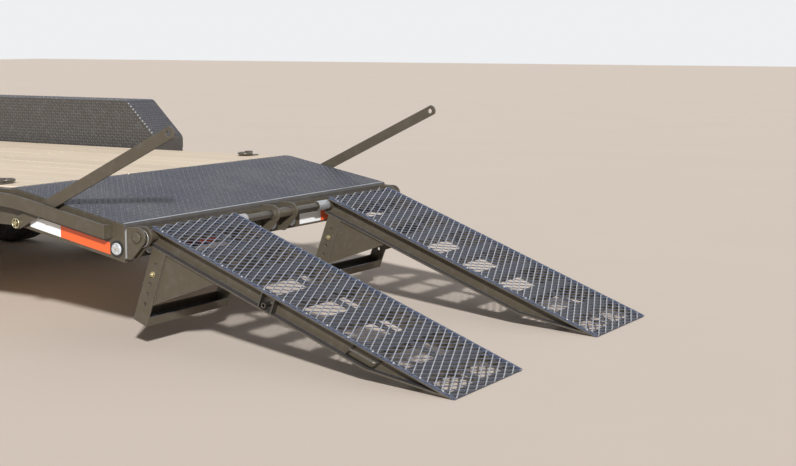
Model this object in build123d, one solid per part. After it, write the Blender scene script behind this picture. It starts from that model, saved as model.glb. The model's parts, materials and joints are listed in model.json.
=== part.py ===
from build123d import *
import os
from math import asin, atan, cos, degrees, radians, sin, sqrt, tan

# A tandem-axle car-hauling trailer: wood deck, sloped treadplate tail and two fold-down ramps.
# Millimetres. While drawing, x runs forward from the rear edge of the tail, y to the left and
# z up from the ground. Each piece is then shifted so that the origin lies on the ground below
# the middle of the overall length.

# Deck
DECK_TOP = 669
TAIL_LENGTH = 617
TAIL_DROP = 114
MAIN_DECK_LENGTH = 5486
FRAME_WIDTH = 2000
PLATE_THICKNESS = 6
PLATE_LIP = 40
NOSE_RADIUS = 14
NOSE_DEPTH = 26

# Side rails and the members between them
RAIL_DEPTH = 156
RAIL_FLANGE = 48
RAIL_WALL = 8
PLANK_THICKNESS = 38
PLANK_WIDTH = 184
PLANK_COUNT = 10
PLANK_GAP = 6
PLANK_END_GAP = 1
CROSS_DEPTH = 76
CROSS_FLANGE = 36
CROSS_WALL = 6
CROSS_COUNT = 9
RIB_COUNT = 4
RIB_SPACING = 400
RIB_DEPTH = 90
RIB_WALL = 8
HEADER_WALL = 8
HEADER_FLANGE = 55

# Rub rail, a flat bar held off the side rail by spacers
RUB_WIDTH = 2108
RUB_BAR = 10
RUB_HEIGHT = 58
RUB_BELOW_DECK = 15
RUB_KNEE_RADIUS = 1200
RUB_REAR_X = 69
SPACER_LENGTH = 45
SPACER_INSET = 4
SPACER_LAP = 1
SPACER_COUNT = 9
RUB_END_PLATE = 8
SPACER_FROM_KNEE = 143
ARM_STOP_X = 335
ARM_STOP_LENGTH = 80
ARM_STOP_HEIGHT = 28

# Rear beam, ears and the long hinge shaft
BEAM_HEIGHT = 121
BEAM_WALL = 8
BEAM_FLANGE = 62
HINGE_BACK = 58
HINGE_Z = 503
SHAFT_RADIUS = 17
SHAFT_BORE = 12
SHAFT_CLEARANCE = 0.4
EAR_THICKNESS = 10
EAR_RADIUS = 41
EAR_BOTTOM_WIDTH = 24
EAR_FLANK_REACH = 32.8
EAR_FLANK_DROP = 24.6
OUTER_EAR_Y = 990
INNER_EAR_Y = 950
CENTRE_EAR_Y = 70
SLEEVE_HALF = 86
SLEEVE_RADIUS = 23
MARKER_HOLE_RADIUS = 29
MARKER_X = 47
MARKER_Z = 449
REAR_LAMP_Y = 860
REAR_LAMP_Z = 444
CENTRE_LAMP_SPACING = 152
TAIL_LAMP_Y = 620
TAIL_LAMP_LENGTH = 165
TAIL_LAMP_HEIGHT = 57
GROMMET_RIM = 6
GROMMET_DEPTH = 4
LENS_DOME = 7
LENS_ROUNDING = 5.6
GROMMET_SLEEVE = 3
GROMMET_FIT = 0.3

# Ramps
RAMP_LENGTH = 1530
RAMP_INNER_Y = 371
RAMP_OUTER_Y = 915
RAMP_OVER_PIN = 42
MESH_THICKNESS = 10
RAMP_RAIL_DEPTH = 76
RAMP_RAIL_WALL = 6
RAMP_RAIL_FLANGE = 40
TAPER_LENGTH = 391
TOE_BAR = 46
SPINE_LAP = 12
RUNG_SPACING = 212
RUNG_FIRST = 17
RUNG_WIDTH = 76
RUNG_DEPTH = 38
RUNG_WALL = 5
SPINE_WIDTH = 38
BARREL_RADIUS = 24
BARREL_CLEARANCE = 0.5
BARREL_INNER_START = 281
BARREL_OUTER_END = 939
CELL_COLUMNS = 7
CELL_ROWS = 28
STRAND_WIDTH = 7
MESH_BORDER = 8

# Support leg below the top of each ramp
LEG_START = 28
LEG_WIDTH = 74
LEG_REACH = 418
LEG_PLATE = 8
LEG_GUSSET = 6
GUSSET_END = 361
GUSSET_LIP = 12
GUSSET_REACH = 319
FOOT_HEIGHT = 40
FOOT_WALL = 6
LEG_HOLE_RADIUS = 8
LEG_HOLE_FIRST = 146
LEG_HOLE_PITCH = 45.7
LEG_HOLE_COUNT = 5

# Stud for the brace arm, and the lifting handle
STUD_AT = 634
STUD_BOX = 70
STUD_BOX_PLATE = 6
STUD_RADIUS = 11
STUD_BORE = 7
STUD_ROOT = 4
STUD_END_Y = 930
STUD_BELOW = 56
HANDLE_FROM = 1062
HANDLE_TO = 1188
HANDLE_BELOW = 26
HANDLE_RADIUS = 5
HANDLE_BEND = 12
HANDLE_PROUD = 30

# Brace arms
ARM_PIVOT_X = 591
ARM_PIVOT_Z = 523
ARM_TIP_X = -263
ARM_TIP_Z = 937
ARM_WIDTH = 50
ARM_THICKNESS = 10
ARM_Y = 1018
ARM_BEYOND_HOLE = 30
ARM_CORNER = 12.5
ARM_NOSE = 20
ARM_HOLE_RADIUS = 12.5
ARM_PIN_RADIUS = 10
ARM_PIN_CLEARANCE = 0.4
ARM_PIN_END = 1046
ARM_CLEARANCE = 5
LINCH_RING_RADIUS = 20
LINCH_WIRE = 2.5
LINCH_FROM_END = 6

# Axles, springs and wheels
AXLE_MIDDLE_X = 2545
AXLE_SPACING = 860
TYRE_RADIUS = 345
TYRE_HALF_WIDTH = 102.5
TYRE_WIDEST_RADIUS = 262
TYRE_SHOULDER_DROP = 15
TYRE_SHOULDER_INSET = 8
TYRE_TREAD_INSET = 22
TYRE_CROWN = 20
TYRE_LINING_INSET = 26
TYRE_BEAD_INSET = 7
TYRE_BEAD = 12
TYRE_SEAT_GAP = 0.3
WHEEL_Y = 1174.5
RIM_RADIUS = 190.5
RIM_FLANGE = 12
RIM_HALF_WIDTH = 76
RIM_WALL = 5
RIM_WELL = 25
RIM_WINDOWS = 8
RIM_WINDOW_RADIUS = 16
RIM_WINDOW_CIRCLE = 128
DISC_PLATE = 6
DISC_EDGE = 8
DISC_SEAT_RADIUS = 72
DISC_RISE_RADIUS = 97
DISC_RISE = 18
HUB_RADIUS = 38
HUB_FACE = 22
HUB_PROUD = 10
HUB_INSET = 20
DRUM_RADIUS = 127
DRUM_WALL = 8
DRUM_CLEARANCE = 10
CAP_RADIUS = 30
CAP_LENGTH = 38
CAP_END = 12
LUG_CIRCLE = 57.15
LUG_COUNT = 5
LUG_RADIUS = 10
LUG_LENGTH = 16
SPINDLE_RADIUS = 20
SPINDLE_CLEARANCE = 0.4
SPINDLE_END_GAP = 6
AXLE_TUBE_RADIUS = 38
BACKING_RADIUS = 130
BACKING_THICKNESS = 6
BACKING_GAP = 6
SPRING_Y = 972
SPRING_WIDTH = 44
SPRING_HALF_SPAN = 330
SPRING_EYE_BELOW_RAIL = 70
SPRING_EYE_RADIUS = 20
SPRING_EYE_BORE = 8
SPRING_PIN_CLEARANCE = 0.4
LEAF_THICKNESS = 8
LEAF_COUNT = 4
LEAF_STEP = 62
SEAT_HEIGHT = 8
SEAT_LENGTH = 100
TIE_PLATE = 10
TIE_OVERHANG = 12
TIE_SINK = 4
HANGER_PLATE = 6
HANGER_LENGTH = 84
HANGER_TIP = 40
HANGER_SIDE_GAP = 2
HANGER_PIN_PROUD = 6
POST_LENGTH = 100
POST_TIP = 48
LINK_GAP = 0.3
LINK_PROUD = 5
LINK_BEYOND_EYE = 18
LINK_HEIGHT = 32
LINK_CREST = 44
LINK_CREST_RISE = 40
LINK_PIVOT_RISE = 18

# Fenders
FENDER_LENGTH = 1830
FENDER_OVERALL = 2590
FENDER_TOP = 940
FENDER_SHEET = 3
FENDER_SHOULDER = 722
FENDER_SLOPE_RUN = 228
FENDER_BEND_RADIUS = 42
FENDER_INNER_BOTTOM = 600
FENDER_SKIRT_BOTTOM = 655

# Tongue, coupler and jack
TONGUE_REACH = 1290
TONGUE_DEPTH = 127
TONGUE_FLANGE = 45
TONGUE_WALL = 7
TONGUE_ANGLE = 25
TONGUE_TIP_Y = 58
COUPLER_PLATE = 12
COUPLER_PLATE_MARGIN = 30
COUPLER_CHANNEL_HEIGHT = 230
COUPLER_CHANNEL_WIDTH = 92
COUPLER_CHANNEL_FLANGE = 50
COUPLER_CHANNEL_WALL = 8
COUPLER_HOLE_COUNT = 5
COUPLER_HOLE_FIRST = 25
COUPLER_HOLE_PITCH = 45
COUPLER_HOLE_BACK = 30
COUPLER_HOLE_RADIUS = 8
COUPLER_LENGTH = 150
COUPLER_Z = 460
COUPLER_BELOW = 10
COUPLER_ABOVE = 60
COUPLER_FIT = 0.3
SHANK_LAP = 30
BALL_RADIUS = 29.4
BALL_CLEARANCE = 0.8
SOCKET_WALL = 10
SOCKET_DEPTH = 44
LATCH_BACK = 70
LATCH_FRONT = 20
LATCH_SIZE = 18
JACK_BACK = 300
JACK_TUBE_RADIUS = 30
JACK_TUBE_WALL = 4
JACK_LEG_RADIUS = 25.5
JACK_LEG_WALL = 4
JACK_LEG_BELOW_TOP = 120
JACK_TOP = 700
JACK_TUBE_BOTTOM = 300
JACK_FOOT_SIZE = 130
JACK_FOOT_THICKNESS = 8
JACK_BRACKET = 10
JACK_BRACKET_HALF = 45
CRANK_RADIUS = 7
CRANK_HUB_RADIUS = 10
CRANK_RISE = 22
CRANK_REACH = 150
CRANK_KNOB = 80
STOP_RAIL_HEIGHT = 110
STOP_RAIL_SIZE = 50
STOP_POST_COUNT = 4
STOP_POST_SPACING = 600

# Tie-down rings and reflective tape
RING_BASE = 76
RING_BASE_THICKNESS = 6
RING_RADIUS = 34
RING_WIRE = 6.5
RING_LIFT = 1
RING_STRAP = 30
RING_STRAP_THICKNESS = 4
RING_Y = 900
RING_FROM_END = 208
TAPE_HEIGHT = 50
TAPE_THICKNESS = 0.6
TAPE_RED = 279
TAPE_WHITE = 178
TAPE_SIDE_START = 86
TAPE_REAR_START = 224
TAPE_BELOW_DECK = 98
TAPE_ABOVE_BEAM = 10
TAPE_LAMP_GAP = 2

HALF_FRAME = FRAME_WIDTH / 2
DECK_FRONT = TAIL_LENGTH + MAIN_DECK_LENGTH
TAIL_RISE = TAIL_DROP / TAIL_LENGTH
RAIL_TOP_BELOW = PLATE_THICKNESS
RAIL_BOTTOM_BELOW = RAIL_TOP_BELOW + RAIL_DEPTH
RAIL_BOTTOM_Z = DECK_TOP - RAIL_BOTTOM_BELOW
WEB_INNER = HALF_FRAME - RAIL_WALL
FLANGE_EDGE = HALF_FRAME - RAIL_FLANGE
RUB_FACE = RUB_WIDTH / 2
FRAME_OVER_PIN = RAMP_OVER_PIN - MESH_THICKNESS
RAMP_DEPTH = MESH_THICKNESS + RAMP_RAIL_DEPTH
RAMP_REACH = sqrt(RAMP_LENGTH ** 2 + FRAME_OVER_PIN ** 2)
RAMP_SLOPE = degrees(asin(HINGE_Z / RAMP_REACH) + atan(FRAME_OVER_PIN / RAMP_LENGTH))
TAPER_START = RAMP_LENGTH - TAPER_LENGTH
RUNG_COUNT = int((RAMP_LENGTH - TOE_BAR - RUNG_FIRST - RUNG_WIDTH) / RUNG_SPACING) + 1
TOE_X = -HINGE_BACK - RAMP_OVER_PIN * sin(radians(RAMP_SLOPE)) - RAMP_LENGTH * cos(radians(RAMP_SLOPE))
TONGUE_TIP_X = DECK_FRONT + TONGUE_REACH
COUPLER_FRONT = TONGUE_TIP_X + COUPLER_PLATE + COUPLER_CHANNEL_FLANGE + COUPLER_LENGTH
MIDDLE_X = (TOE_X + COUPLER_FRONT) / 2
AXLES = {"rear": AXLE_MIDDLE_X - AXLE_SPACING / 2, "front": AXLE_MIDDLE_X + AXLE_SPACING / 2}
BEAM_TOP_Z = DECK_TOP - TAIL_DROP - NOSE_DEPTH
SPACER_FIRST_X = TAIL_LENGTH + SPACER_FROM_KNEE
SPACER_SPACING = (DECK_FRONT - SPACER_LENGTH - SPACER_FIRST_X) / (SPACER_COUNT - 1)
CROSS_FIRST_X = TAIL_LENGTH + PLATE_LIP + CROSS_FLANGE
CROSS_SPACING = (DECK_FRONT - HEADER_FLANGE - CROSS_FIRST_X) / CROSS_COUNT
RING_X_REAR = TAIL_LENGTH + RING_FROM_END
RING_X_FRONT = DECK_FRONT - RING_FROM_END
JACK_X = TONGUE_TIP_X - JACK_BACK


def surface(x, below=0.0):
    """Height at x of the line that lies a given depth below the deck and the sloped tail."""
    return DECK_TOP - below - max(0.0, TAIL_LENGTH - x) * TAIL_RISE


def block(x0, x1, y0, y1, z0, z1):
    """Rectangular bar between two corners."""
    middle = ((x0 + x1) / 2, (y0 + y1) / 2, (z0 + z1) / 2)
    return Pos(*middle) * Box(x1 - x0, y1 - y0, z1 - z0)


def side_view(sketch, y0, y1):
    """Plate whose outline is drawn in the side view, x across and z up, from y0 to y1."""
    return Pos(0, y1, 0) * Rot(90, 0, 0) * extrude(sketch, amount=y1 - y0, dir=(0, 0, 1))


def outline(*points):
    """Flat outline through the given corners."""
    return Polygon(*points, align=None)


def rod_y(x, z, y0, y1, radius):
    """Round bar across the trailer."""
    return Pos(x, (y0 + y1) / 2, z) * Rot(90, 0, 0) * Cylinder(radius, y1 - y0)


def rod_x(y, z, x0, x1, radius):
    """Round bar along the trailer."""
    return Pos((x0 + x1) / 2, y, z) * Rot(0, 90, 0) * Cylinder(radius, x1 - x0)


def rod_z(x, y, z0, z1, radius):
    """Upright round bar."""
    return Pos(x, y, (z0 + z1) / 2) * Cylinder(radius, z1 - z0)


def mirrored(shape):
    """The same piece on the right-hand side."""
    return mirror(shape, about=Plane.XZ)


def band(x0, x1, top, bottom):
    """Side-view strip that follows the deck and the tail between two depths below them."""
    upper = [(x0, surface(x0, top)), (TAIL_LENGTH, surface(TAIL_LENGTH, top)), (x1, surface(x1, top))]
    lower = [(x1, surface(x1, bottom)), (TAIL_LENGTH, surface(TAIL_LENGTH, bottom)), (x0, surface(x0, bottom))]
    return upper, lower


def channel_plate(sketch, web_y, edge_y, wall):
    """Channel drawn from its side outline, with the web at web_y and flanges out to edge_y."""
    step = wall if edge_y > web_y else -wall
    whole = side_view(sketch, min(web_y, edge_y), max(web_y, edge_y))
    hollow = offset(sketch, amount=-wall, kind=Kind.INTERSECTION)
    inner_y = web_y + step
    beyond_y = edge_y + step
    return whole - side_view(hollow, min(inner_y, beyond_y), max(inner_y, beyond_y))


def save(node, *pieces):
    """Write one node, shifted to the trailer's origin."""
    shift = Pos(-MIDDLE_X, 0, 0)
    solids = [shift * solid for piece in pieces for solid in piece.solids()]
    shape = solids[0] if len(solids) == 1 else Compound(children=solids)
    export_step(shape, f"parts/{node}.step")


def side_rail():
    """Left side rail: one channel bent at the knee, open inward, its ends closed."""
    upper, lower = band(BEAM_WALL, DECK_FRONT, RAIL_TOP_BELOW, RAIL_BOTTOM_BELOW)
    rail = channel_plate(outline(*upper, *lower), HALF_FRAME, FLANGE_EDGE, RAIL_WALL)
    return rail - rod_y(MARKER_X, MARKER_Z, WEB_INNER - 1, HALF_FRAME + 1, MARKER_HOLE_RADIUS)


def cross_members():
    """Channels across the main deck, their webs upright and their ends on the side-rail webs."""
    top = DECK_TOP - PLANK_THICKNESS
    members = []
    for index in range(CROSS_COUNT):
        x = CROSS_FIRST_X + index * CROSS_SPACING
        body = block(x - CROSS_FLANGE, x, -WEB_INNER, WEB_INNER, top - CROSS_DEPTH, top)
        hollow = block(x - CROSS_FLANGE + CROSS_WALL, x + 1, -WEB_INNER - 1, WEB_INNER + 1,
                       top - CROSS_DEPTH + CROSS_WALL, top - CROSS_WALL)
        members.append(body - hollow)
    return members


def front_header():
    """Deep channel that closes the front of the frame, its web forward, with a ledge for the planks."""
    top = DECK_TOP - RAIL_TOP_BELOW
    ledge = DECK_TOP - PLANK_THICKNESS
    rear = DECK_FRONT - HEADER_FLANGE
    inside = DECK_FRONT - HEADER_WALL
    body = block(rear, DECK_FRONT, -FLANGE_EDGE, FLANGE_EDGE, RAIL_BOTTOM_Z, top)
    body -= block(rear - 1, inside, -FLANGE_EDGE - 1, FLANGE_EDGE + 1,
                  RAIL_BOTTOM_Z + HEADER_WALL, ledge - HEADER_WALL)
    return body - block(rear - 1, inside, -FLANGE_EDGE - 1, FLANGE_EDGE + 1, ledge, top + 1)


def deck_planks():
    """Lengthwise planks with even gaps between them."""
    pitch = PLANK_WIDTH + PLANK_GAP
    start = -pitch * (PLANK_COUNT - 1) / 2
    rear = TAIL_LENGTH + PLATE_LIP + PLATE_THICKNESS
    front = DECK_FRONT - HEADER_WALL - PLANK_END_GAP
    planks = []
    for index in range(PLANK_COUNT):
        y = start + index * pitch
        planks.append(block(rear, front, y - PLANK_WIDTH / 2, y + PLANK_WIDTH / 2,
                            DECK_TOP - PLANK_THICKNESS, DECK_TOP))
    return planks


def tail_plate():
    """Treadplate that covers the sloped tail, rolled down at its rear edge and turned down to the planks."""
    nose_z = surface(0) - NOSE_DEPTH
    wall = PLATE_THICKNESS
    front = TAIL_LENGTH + PLATE_LIP
    section = outline((0, nose_z), (0, surface(0)), (TAIL_LENGTH, DECK_TOP), (front, DECK_TOP),
                      (front, DECK_TOP - wall), (TAIL_LENGTH, DECK_TOP - wall), (wall, surface(wall, wall)),
                      (wall, nose_z))
    nose = [v for v in section.vertices() if abs(v.X) < 1e-3 and v.Y > surface(0) - 1]
    plate = side_view(fillet(nose, radius=NOSE_RADIUS), -HALF_FRAME, HALF_FRAME)
    return plate + block(front - wall, front, -FLANGE_EDGE, FLANGE_EDGE,
                         DECK_TOP - PLANK_THICKNESS, DECK_TOP - wall)


def tail_ribs():
    """Flat bars on edge below the treadplate, from the rear beam to the first cross member."""
    ribs = []
    front = TAIL_LENGTH + PLATE_LIP - PLATE_THICKNESS
    for index in range(RIB_COUNT):
        y = RIB_SPACING * (index - (RIB_COUNT - 1) / 2)
        rear = BEAM_FLANGE
        rib = outline((rear, surface(rear, PLATE_THICKNESS)), (TAIL_LENGTH, DECK_TOP - PLATE_THICKNESS),
                      (front, DECK_TOP - PLATE_THICKNESS), (front, DECK_TOP - RIB_DEPTH),
                      (TAIL_LENGTH, DECK_TOP - RIB_DEPTH), (rear, surface(rear, RIB_DEPTH)))
        ribs.append(side_view(rib, y - RIB_WALL / 2, y + RIB_WALL / 2))
    return ribs


def arm_lower_edge(x):
    """Height at x of the resting arm's lower edge."""
    run = ARM_PIVOT_X - ARM_TIP_X
    rise = ARM_TIP_Z - ARM_PIVOT_Z
    length = sqrt(run ** 2 + rise ** 2)
    return ARM_PIVOT_Z + (ARM_PIVOT_X - x) * rise / run - ARM_WIDTH / 2 * length / run


def rub_rail():
    """Left rub rail: a flat bar bent down along the tail, its spacers, end plate and arm stop."""
    upper, lower = band(RUB_REAR_X, DECK_FRONT, RUB_BELOW_DECK, RUB_BELOW_DECK + RUB_HEIGHT)
    strip = outline(*upper, *lower)
    knees = [v for v in strip.vertices() if abs(v.X - TAIL_LENGTH) < 1e-3]
    strip = fillet(knees, radius=RUB_KNEE_RADIUS)
    rail = side_view(strip, RUB_FACE - RUB_BAR, RUB_FACE)
    lapped = RUB_FACE - RUB_BAR + SPACER_LAP
    top = RUB_BELOW_DECK + SPACER_INSET
    bottom = RUB_BELOW_DECK + RUB_HEIGHT - SPACER_INSET
    for index in range(SPACER_COUNT):
        x = SPACER_FIRST_X + index * SPACER_SPACING
        rail += block(x, x + SPACER_LENGTH, HALF_FRAME, lapped, surface(x, bottom), surface(x, top))
    x0 = RUB_REAR_X
    x1 = RUB_REAR_X + RUB_END_PLATE
    foot = RUB_BELOW_DECK + RUB_HEIGHT
    end = outline((x0, surface(x0, RUB_BELOW_DECK)), (x1, surface(x1, RUB_BELOW_DECK)),
                  (x1, surface(x1, foot)), (x0, surface(x0, foot)))
    rail += side_view(end, HALF_FRAME, RUB_FACE)
    stop_top = arm_lower_edge(ARM_STOP_X + ARM_STOP_LENGTH) - ARM_CLEARANCE
    rail += block(ARM_STOP_X, ARM_STOP_X + ARM_STOP_LENGTH, HALF_FRAME, lapped,
                  stop_top - ARM_STOP_HEIGHT, stop_top)
    return rail


def ear(y, x_front=0.0):
    """Hinge ear: round over the shaft, tapering down the rear beam."""
    bottom = BEAM_TOP_Z - BEAM_HEIGHT
    root = outline((x_front, HINGE_Z + EAR_RADIUS), (-HINGE_BACK, HINGE_Z + EAR_RADIUS),
                   (-HINGE_BACK - EAR_FLANK_REACH, HINGE_Z - EAR_FLANK_DROP),
                   (x_front - EAR_BOTTOM_WIDTH, bottom), (x_front, bottom))
    plate = side_view(root, y - EAR_THICKNESS / 2, y + EAR_THICKNESS / 2)
    plate += rod_y(-HINGE_BACK, HINGE_Z, y - EAR_THICKNESS / 2, y + EAR_THICKNESS / 2, EAR_RADIUS)
    return plate


def hinge_ears():
    """Two ears at each end of the shaft and two in the middle, joined there by a sleeve."""
    bore = rod_y(-HINGE_BACK, HINGE_Z, -FRAME_WIDTH, FRAME_WIDTH, SHAFT_RADIUS + SHAFT_CLEARANCE)
    middle = ear(-CENTRE_EAR_Y) + ear(CENTRE_EAR_Y)
    middle += rod_y(-HINGE_BACK, HINGE_Z, -SLEEVE_HALF, SLEEVE_HALF, SLEEVE_RADIUS)
    pieces = [middle - bore]
    for side in (-1, 1):
        for y in (OUTER_EAR_Y, INNER_EAR_Y):
            pieces.append(ear(side * y) - bore)
    return pieces


def hinge_shaft():
    """Long tube that both ramps hang on."""
    end = OUTER_EAR_Y + EAR_THICKNESS
    shaft = rod_y(-HINGE_BACK, HINGE_Z, -end, end, SHAFT_RADIUS)
    return shaft - rod_y(-HINGE_BACK, HINGE_Z, -end - 1, end + 1, SHAFT_BORE)


def slot_bar(length, height, depth):
    """Bar with round ends, centred, long along y and thick along x."""
    return Rot(0, 90, 0) * Rot(0, 0, 90) * extrude(SlotOverall(length, height), amount=depth / 2, both=True)


def round_lamp_places():
    """Where the round lamps sit across the rear beam: one near each end and three at the middle."""
    return (-REAR_LAMP_Y, -CENTRE_LAMP_SPACING, 0, CENTRE_LAMP_SPACING, REAR_LAMP_Y)


def rear_beam():
    """Channel across the tail, its web rearward, with holes for its lamps."""
    bottom = BEAM_TOP_Z - BEAM_HEIGHT
    half = FLANGE_EDGE
    beam = block(0, BEAM_WALL, -HALF_FRAME, HALF_FRAME, bottom, BEAM_TOP_Z)
    beam += block(0, BEAM_FLANGE, -half, half, bottom, bottom + BEAM_WALL)
    beam += block(0, BEAM_FLANGE, -half, half, BEAM_TOP_Z - BEAM_WALL, BEAM_TOP_Z)
    for side in (-1, 1):
        lamp_hole = slot_bar(TAIL_LAMP_LENGTH, TAIL_LAMP_HEIGHT, 3 * BEAM_WALL)
        beam -= Pos(0, side * TAIL_LAMP_Y, REAR_LAMP_Z) * lamp_hole
    for y in round_lamp_places():
        beam -= rod_x(y, REAR_LAMP_Z, -1, BEAM_WALL + 1, MARKER_HOLE_RADIUS)
    return beam


def ramp_part(*points):
    """Side outline in the ramp's own frame: distance down the ramp, then height above its surface."""
    return outline(*[(-along, RAMP_OVER_PIN + height) for along, height in points])


def on_ramp(shape):
    """Turn a piece drawn in the ramp's own frame about the hinge to the slope of the lowered ramp."""
    return Pos(-HINGE_BACK, 0, HINGE_Z) * Rot(0, -RAMP_SLOPE, 0) * shape


def underside(along):
    """Depth of the ramp's side channels below its surface, which taper to nothing at the toe."""
    return RAMP_DEPTH - max(0.0, along - TAPER_START) * RAMP_RAIL_DEPTH / TAPER_LENGTH


def ramp_frame():
    """Left ramp: outward-facing channels tapered to the toe, rungs, spine, toe bar and hinge barrels."""
    side = ramp_part((0, -MESH_THICKNESS), (0, -RAMP_DEPTH), (TAPER_START, -RAMP_DEPTH),
                     (RAMP_LENGTH, -MESH_THICKNESS))
    inner_web = RAMP_INNER_Y + RAMP_RAIL_FLANGE
    outer_web = RAMP_OUTER_Y - RAMP_RAIL_FLANGE
    frame = channel_plate(side, inner_web, RAMP_INNER_Y, RAMP_RAIL_WALL)
    frame += channel_plate(side, outer_web, RAMP_OUTER_Y, RAMP_RAIL_WALL)
    top = FRAME_OVER_PIN
    for index in range(RUNG_COUNT):
        x1 = -(RUNG_FIRST + index * RUNG_SPACING)
        x0 = x1 - RUNG_WIDTH
        depth = min(RUNG_DEPTH, underside(-x0) - MESH_THICKNESS)
        rung = block(x0, x1, inner_web, outer_web, top - depth, top)
        rung -= block(x0 + RUNG_WALL, x1 - RUNG_WALL, inner_web - 1, outer_web + 1,
                      top - depth - 1, top - RUNG_WALL)
        frame += rung
    middle = (RAMP_INNER_Y + RAMP_OUTER_Y) / 2
    toe_start = RAMP_LENGTH - TOE_BAR
    spine_end = toe_start + SPINE_LAP
    frame += block(-spine_end, -RUNG_FIRST - RUNG_WIDTH / 2,
                   middle - SPINE_WIDTH / 2, middle + SPINE_WIDTH / 2, top - RUNG_WALL, top)
    frame += block(-RAMP_RAIL_WALL, 0, inner_web - RAMP_RAIL_WALL, outer_web + RAMP_RAIL_WALL,
                   top - RAMP_RAIL_DEPTH, top)
    toe = ramp_part((toe_start, -MESH_THICKNESS), (RAMP_LENGTH, -MESH_THICKNESS),
                    (toe_start, -underside(toe_start)))
    frame += side_view(toe, RAMP_INNER_Y, RAMP_OUTER_Y)
    for y0, y1 in ((BARREL_INNER_START, inner_web + RAMP_RAIL_WALL),
                   (outer_web - RAMP_RAIL_WALL, BARREL_OUTER_END)):
        frame += rod_y(0, 0, y0, y1, BARREL_RADIUS)
    frame -= rod_y(0, 0, BARREL_INNER_START - 1, BARREL_OUTER_END + 1, SHAFT_RADIUS + BARREL_CLEARANCE)
    return on_ramp(frame)


def ramp_mesh():
    """Expanded-metal tread of the left ramp: diamonds in staggered rows inside a plain border."""
    width = RAMP_OUTER_Y - RAMP_INNER_Y
    cell_x = (RAMP_LENGTH - 2 * MESH_BORDER) / CELL_ROWS
    cell_y = (width - 2 * MESH_BORDER) / CELL_COLUMNS
    half_x = cell_x / 2 - STRAND_WIDTH / 2
    half_y = cell_y / 2 - STRAND_WIDTH / 2
    x_start = -RAMP_LENGTH + MESH_BORDER
    y_start = RAMP_INNER_Y + MESH_BORDER
    holes = []
    for row in range(2 * CELL_ROWS - 1):
        columns = CELL_COLUMNS if row % 2 == 0 else CELL_COLUMNS - 1
        shift = 0.5 if row % 2 == 0 else 1.0
        for column in range(columns):
            x = x_start + (row + 1) * cell_x / 2
            y = y_start + (column + shift) * cell_y
            corners = [(x - half_x, y, 0), (x, y - half_y, 0), (x + half_x, y, 0), (x, y + half_y, 0)]
            holes.append(Wire(Polyline(corners, close=True).edges()))
    border = Polyline([(-RAMP_LENGTH, RAMP_INNER_Y, 0), (0, RAMP_INNER_Y, 0), (0, RAMP_OUTER_Y, 0),
                       (-RAMP_LENGTH, RAMP_OUTER_Y, 0)], close=True)
    sheet = extrude(Face(Wire(border.edges()), holes), amount=MESH_THICKNESS, dir=(0, 0, -1))
    return on_ramp(Pos(0, 0, RAMP_OVER_PIN) * sheet)


def ramp_leg():
    """Left ramp's support leg: two drilled plates with gussets, and a channel foot across them."""
    deep = RAMP_DEPTH
    end = LEG_START + LEG_WIDTH
    strip = ramp_part((LEG_START, -deep), (end, -deep), (end, -LEG_REACH), (LEG_START, -LEG_REACH))
    gusset = ramp_part((LEG_START, -deep), (GUSSET_END, -deep), (GUSSET_END, -deep - GUSSET_LIP),
                       (end, -GUSSET_REACH), (LEG_START, -GUSSET_REACH))
    foot_top = RAMP_OVER_PIN - LEG_REACH + FOOT_HEIGHT
    leg = block(-end, -LEG_START, RAMP_INNER_Y, RAMP_OUTER_Y, RAMP_OVER_PIN - LEG_REACH, foot_top)
    leg -= block(-end + FOOT_WALL, -LEG_START - FOOT_WALL, RAMP_INNER_Y + FOOT_WALL, RAMP_OUTER_Y - FOOT_WALL,
                 RAMP_OVER_PIN - LEG_REACH + FOOT_WALL, foot_top + 1)
    for edge, inward in ((RAMP_INNER_Y, 1), (RAMP_OUTER_Y, -1)):
        face = edge + inward * LEG_PLATE
        behind = face + inward * LEG_GUSSET
        plate = side_view(strip, min(edge, face), max(edge, face))
        for index in range(LEG_HOLE_COUNT):
            z = RAMP_OVER_PIN - LEG_HOLE_FIRST - index * LEG_HOLE_PITCH
            plate -= rod_y(-(LEG_START + end) / 2, z, min(edge, face) - 1, max(edge, face) + 1,
                           LEG_HOLE_RADIUS)
        leg += plate + side_view(gusset, min(face, behind), max(face, behind))
    return on_ramp(leg)


def ramp_fittings():
    """Left ramp's stud for the brace arm between two stop plates, and its bent-rod handle."""
    web = RAMP_OUTER_Y - RAMP_RAIL_FLANGE + RAMP_RAIL_WALL
    top = FRAME_OVER_PIN - RAMP_RAIL_WALL
    bottom = FRAME_OVER_PIN - RAMP_RAIL_DEPTH + RAMP_RAIL_WALL
    stud_z = RAMP_OVER_PIN - STUD_BELOW
    pieces = []
    stud = rod_y(-STUD_AT, stud_z, web, STUD_END_Y, STUD_RADIUS)
    stud -= rod_y(-STUD_AT, stud_z, web + STUD_ROOT, STUD_END_Y + 1, STUD_BORE)
    half = STUD_BOX / 2
    inside = half - STUD_BOX_PLATE
    box = block(-STUD_AT - half, -STUD_AT + half, web, RAMP_OUTER_Y, bottom, top)
    box -= block(-STUD_AT - inside, -STUD_AT + inside, web + STUD_BOX_PLATE, RAMP_OUTER_Y + 1,
                 bottom - 1, top + 1)
    pieces.append(box + stud)
    handle_z = RAMP_OVER_PIN - HANDLE_BELOW
    reach = RAMP_OUTER_Y + HANDLE_PROUD
    path = FilletPolyline([(-HANDLE_FROM, web, handle_z), (-HANDLE_FROM, reach, handle_z),
                           (-HANDLE_TO, reach, handle_z), (-HANDLE_TO, web, handle_z)], radius=HANDLE_BEND)
    start = Plane(origin=(-HANDLE_FROM, web, handle_z), z_dir=(0, 1, 0))
    pieces.append(sweep(start * Circle(HANDLE_RADIUS), path=path))
    return [on_ramp(piece) for piece in pieces]


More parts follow.
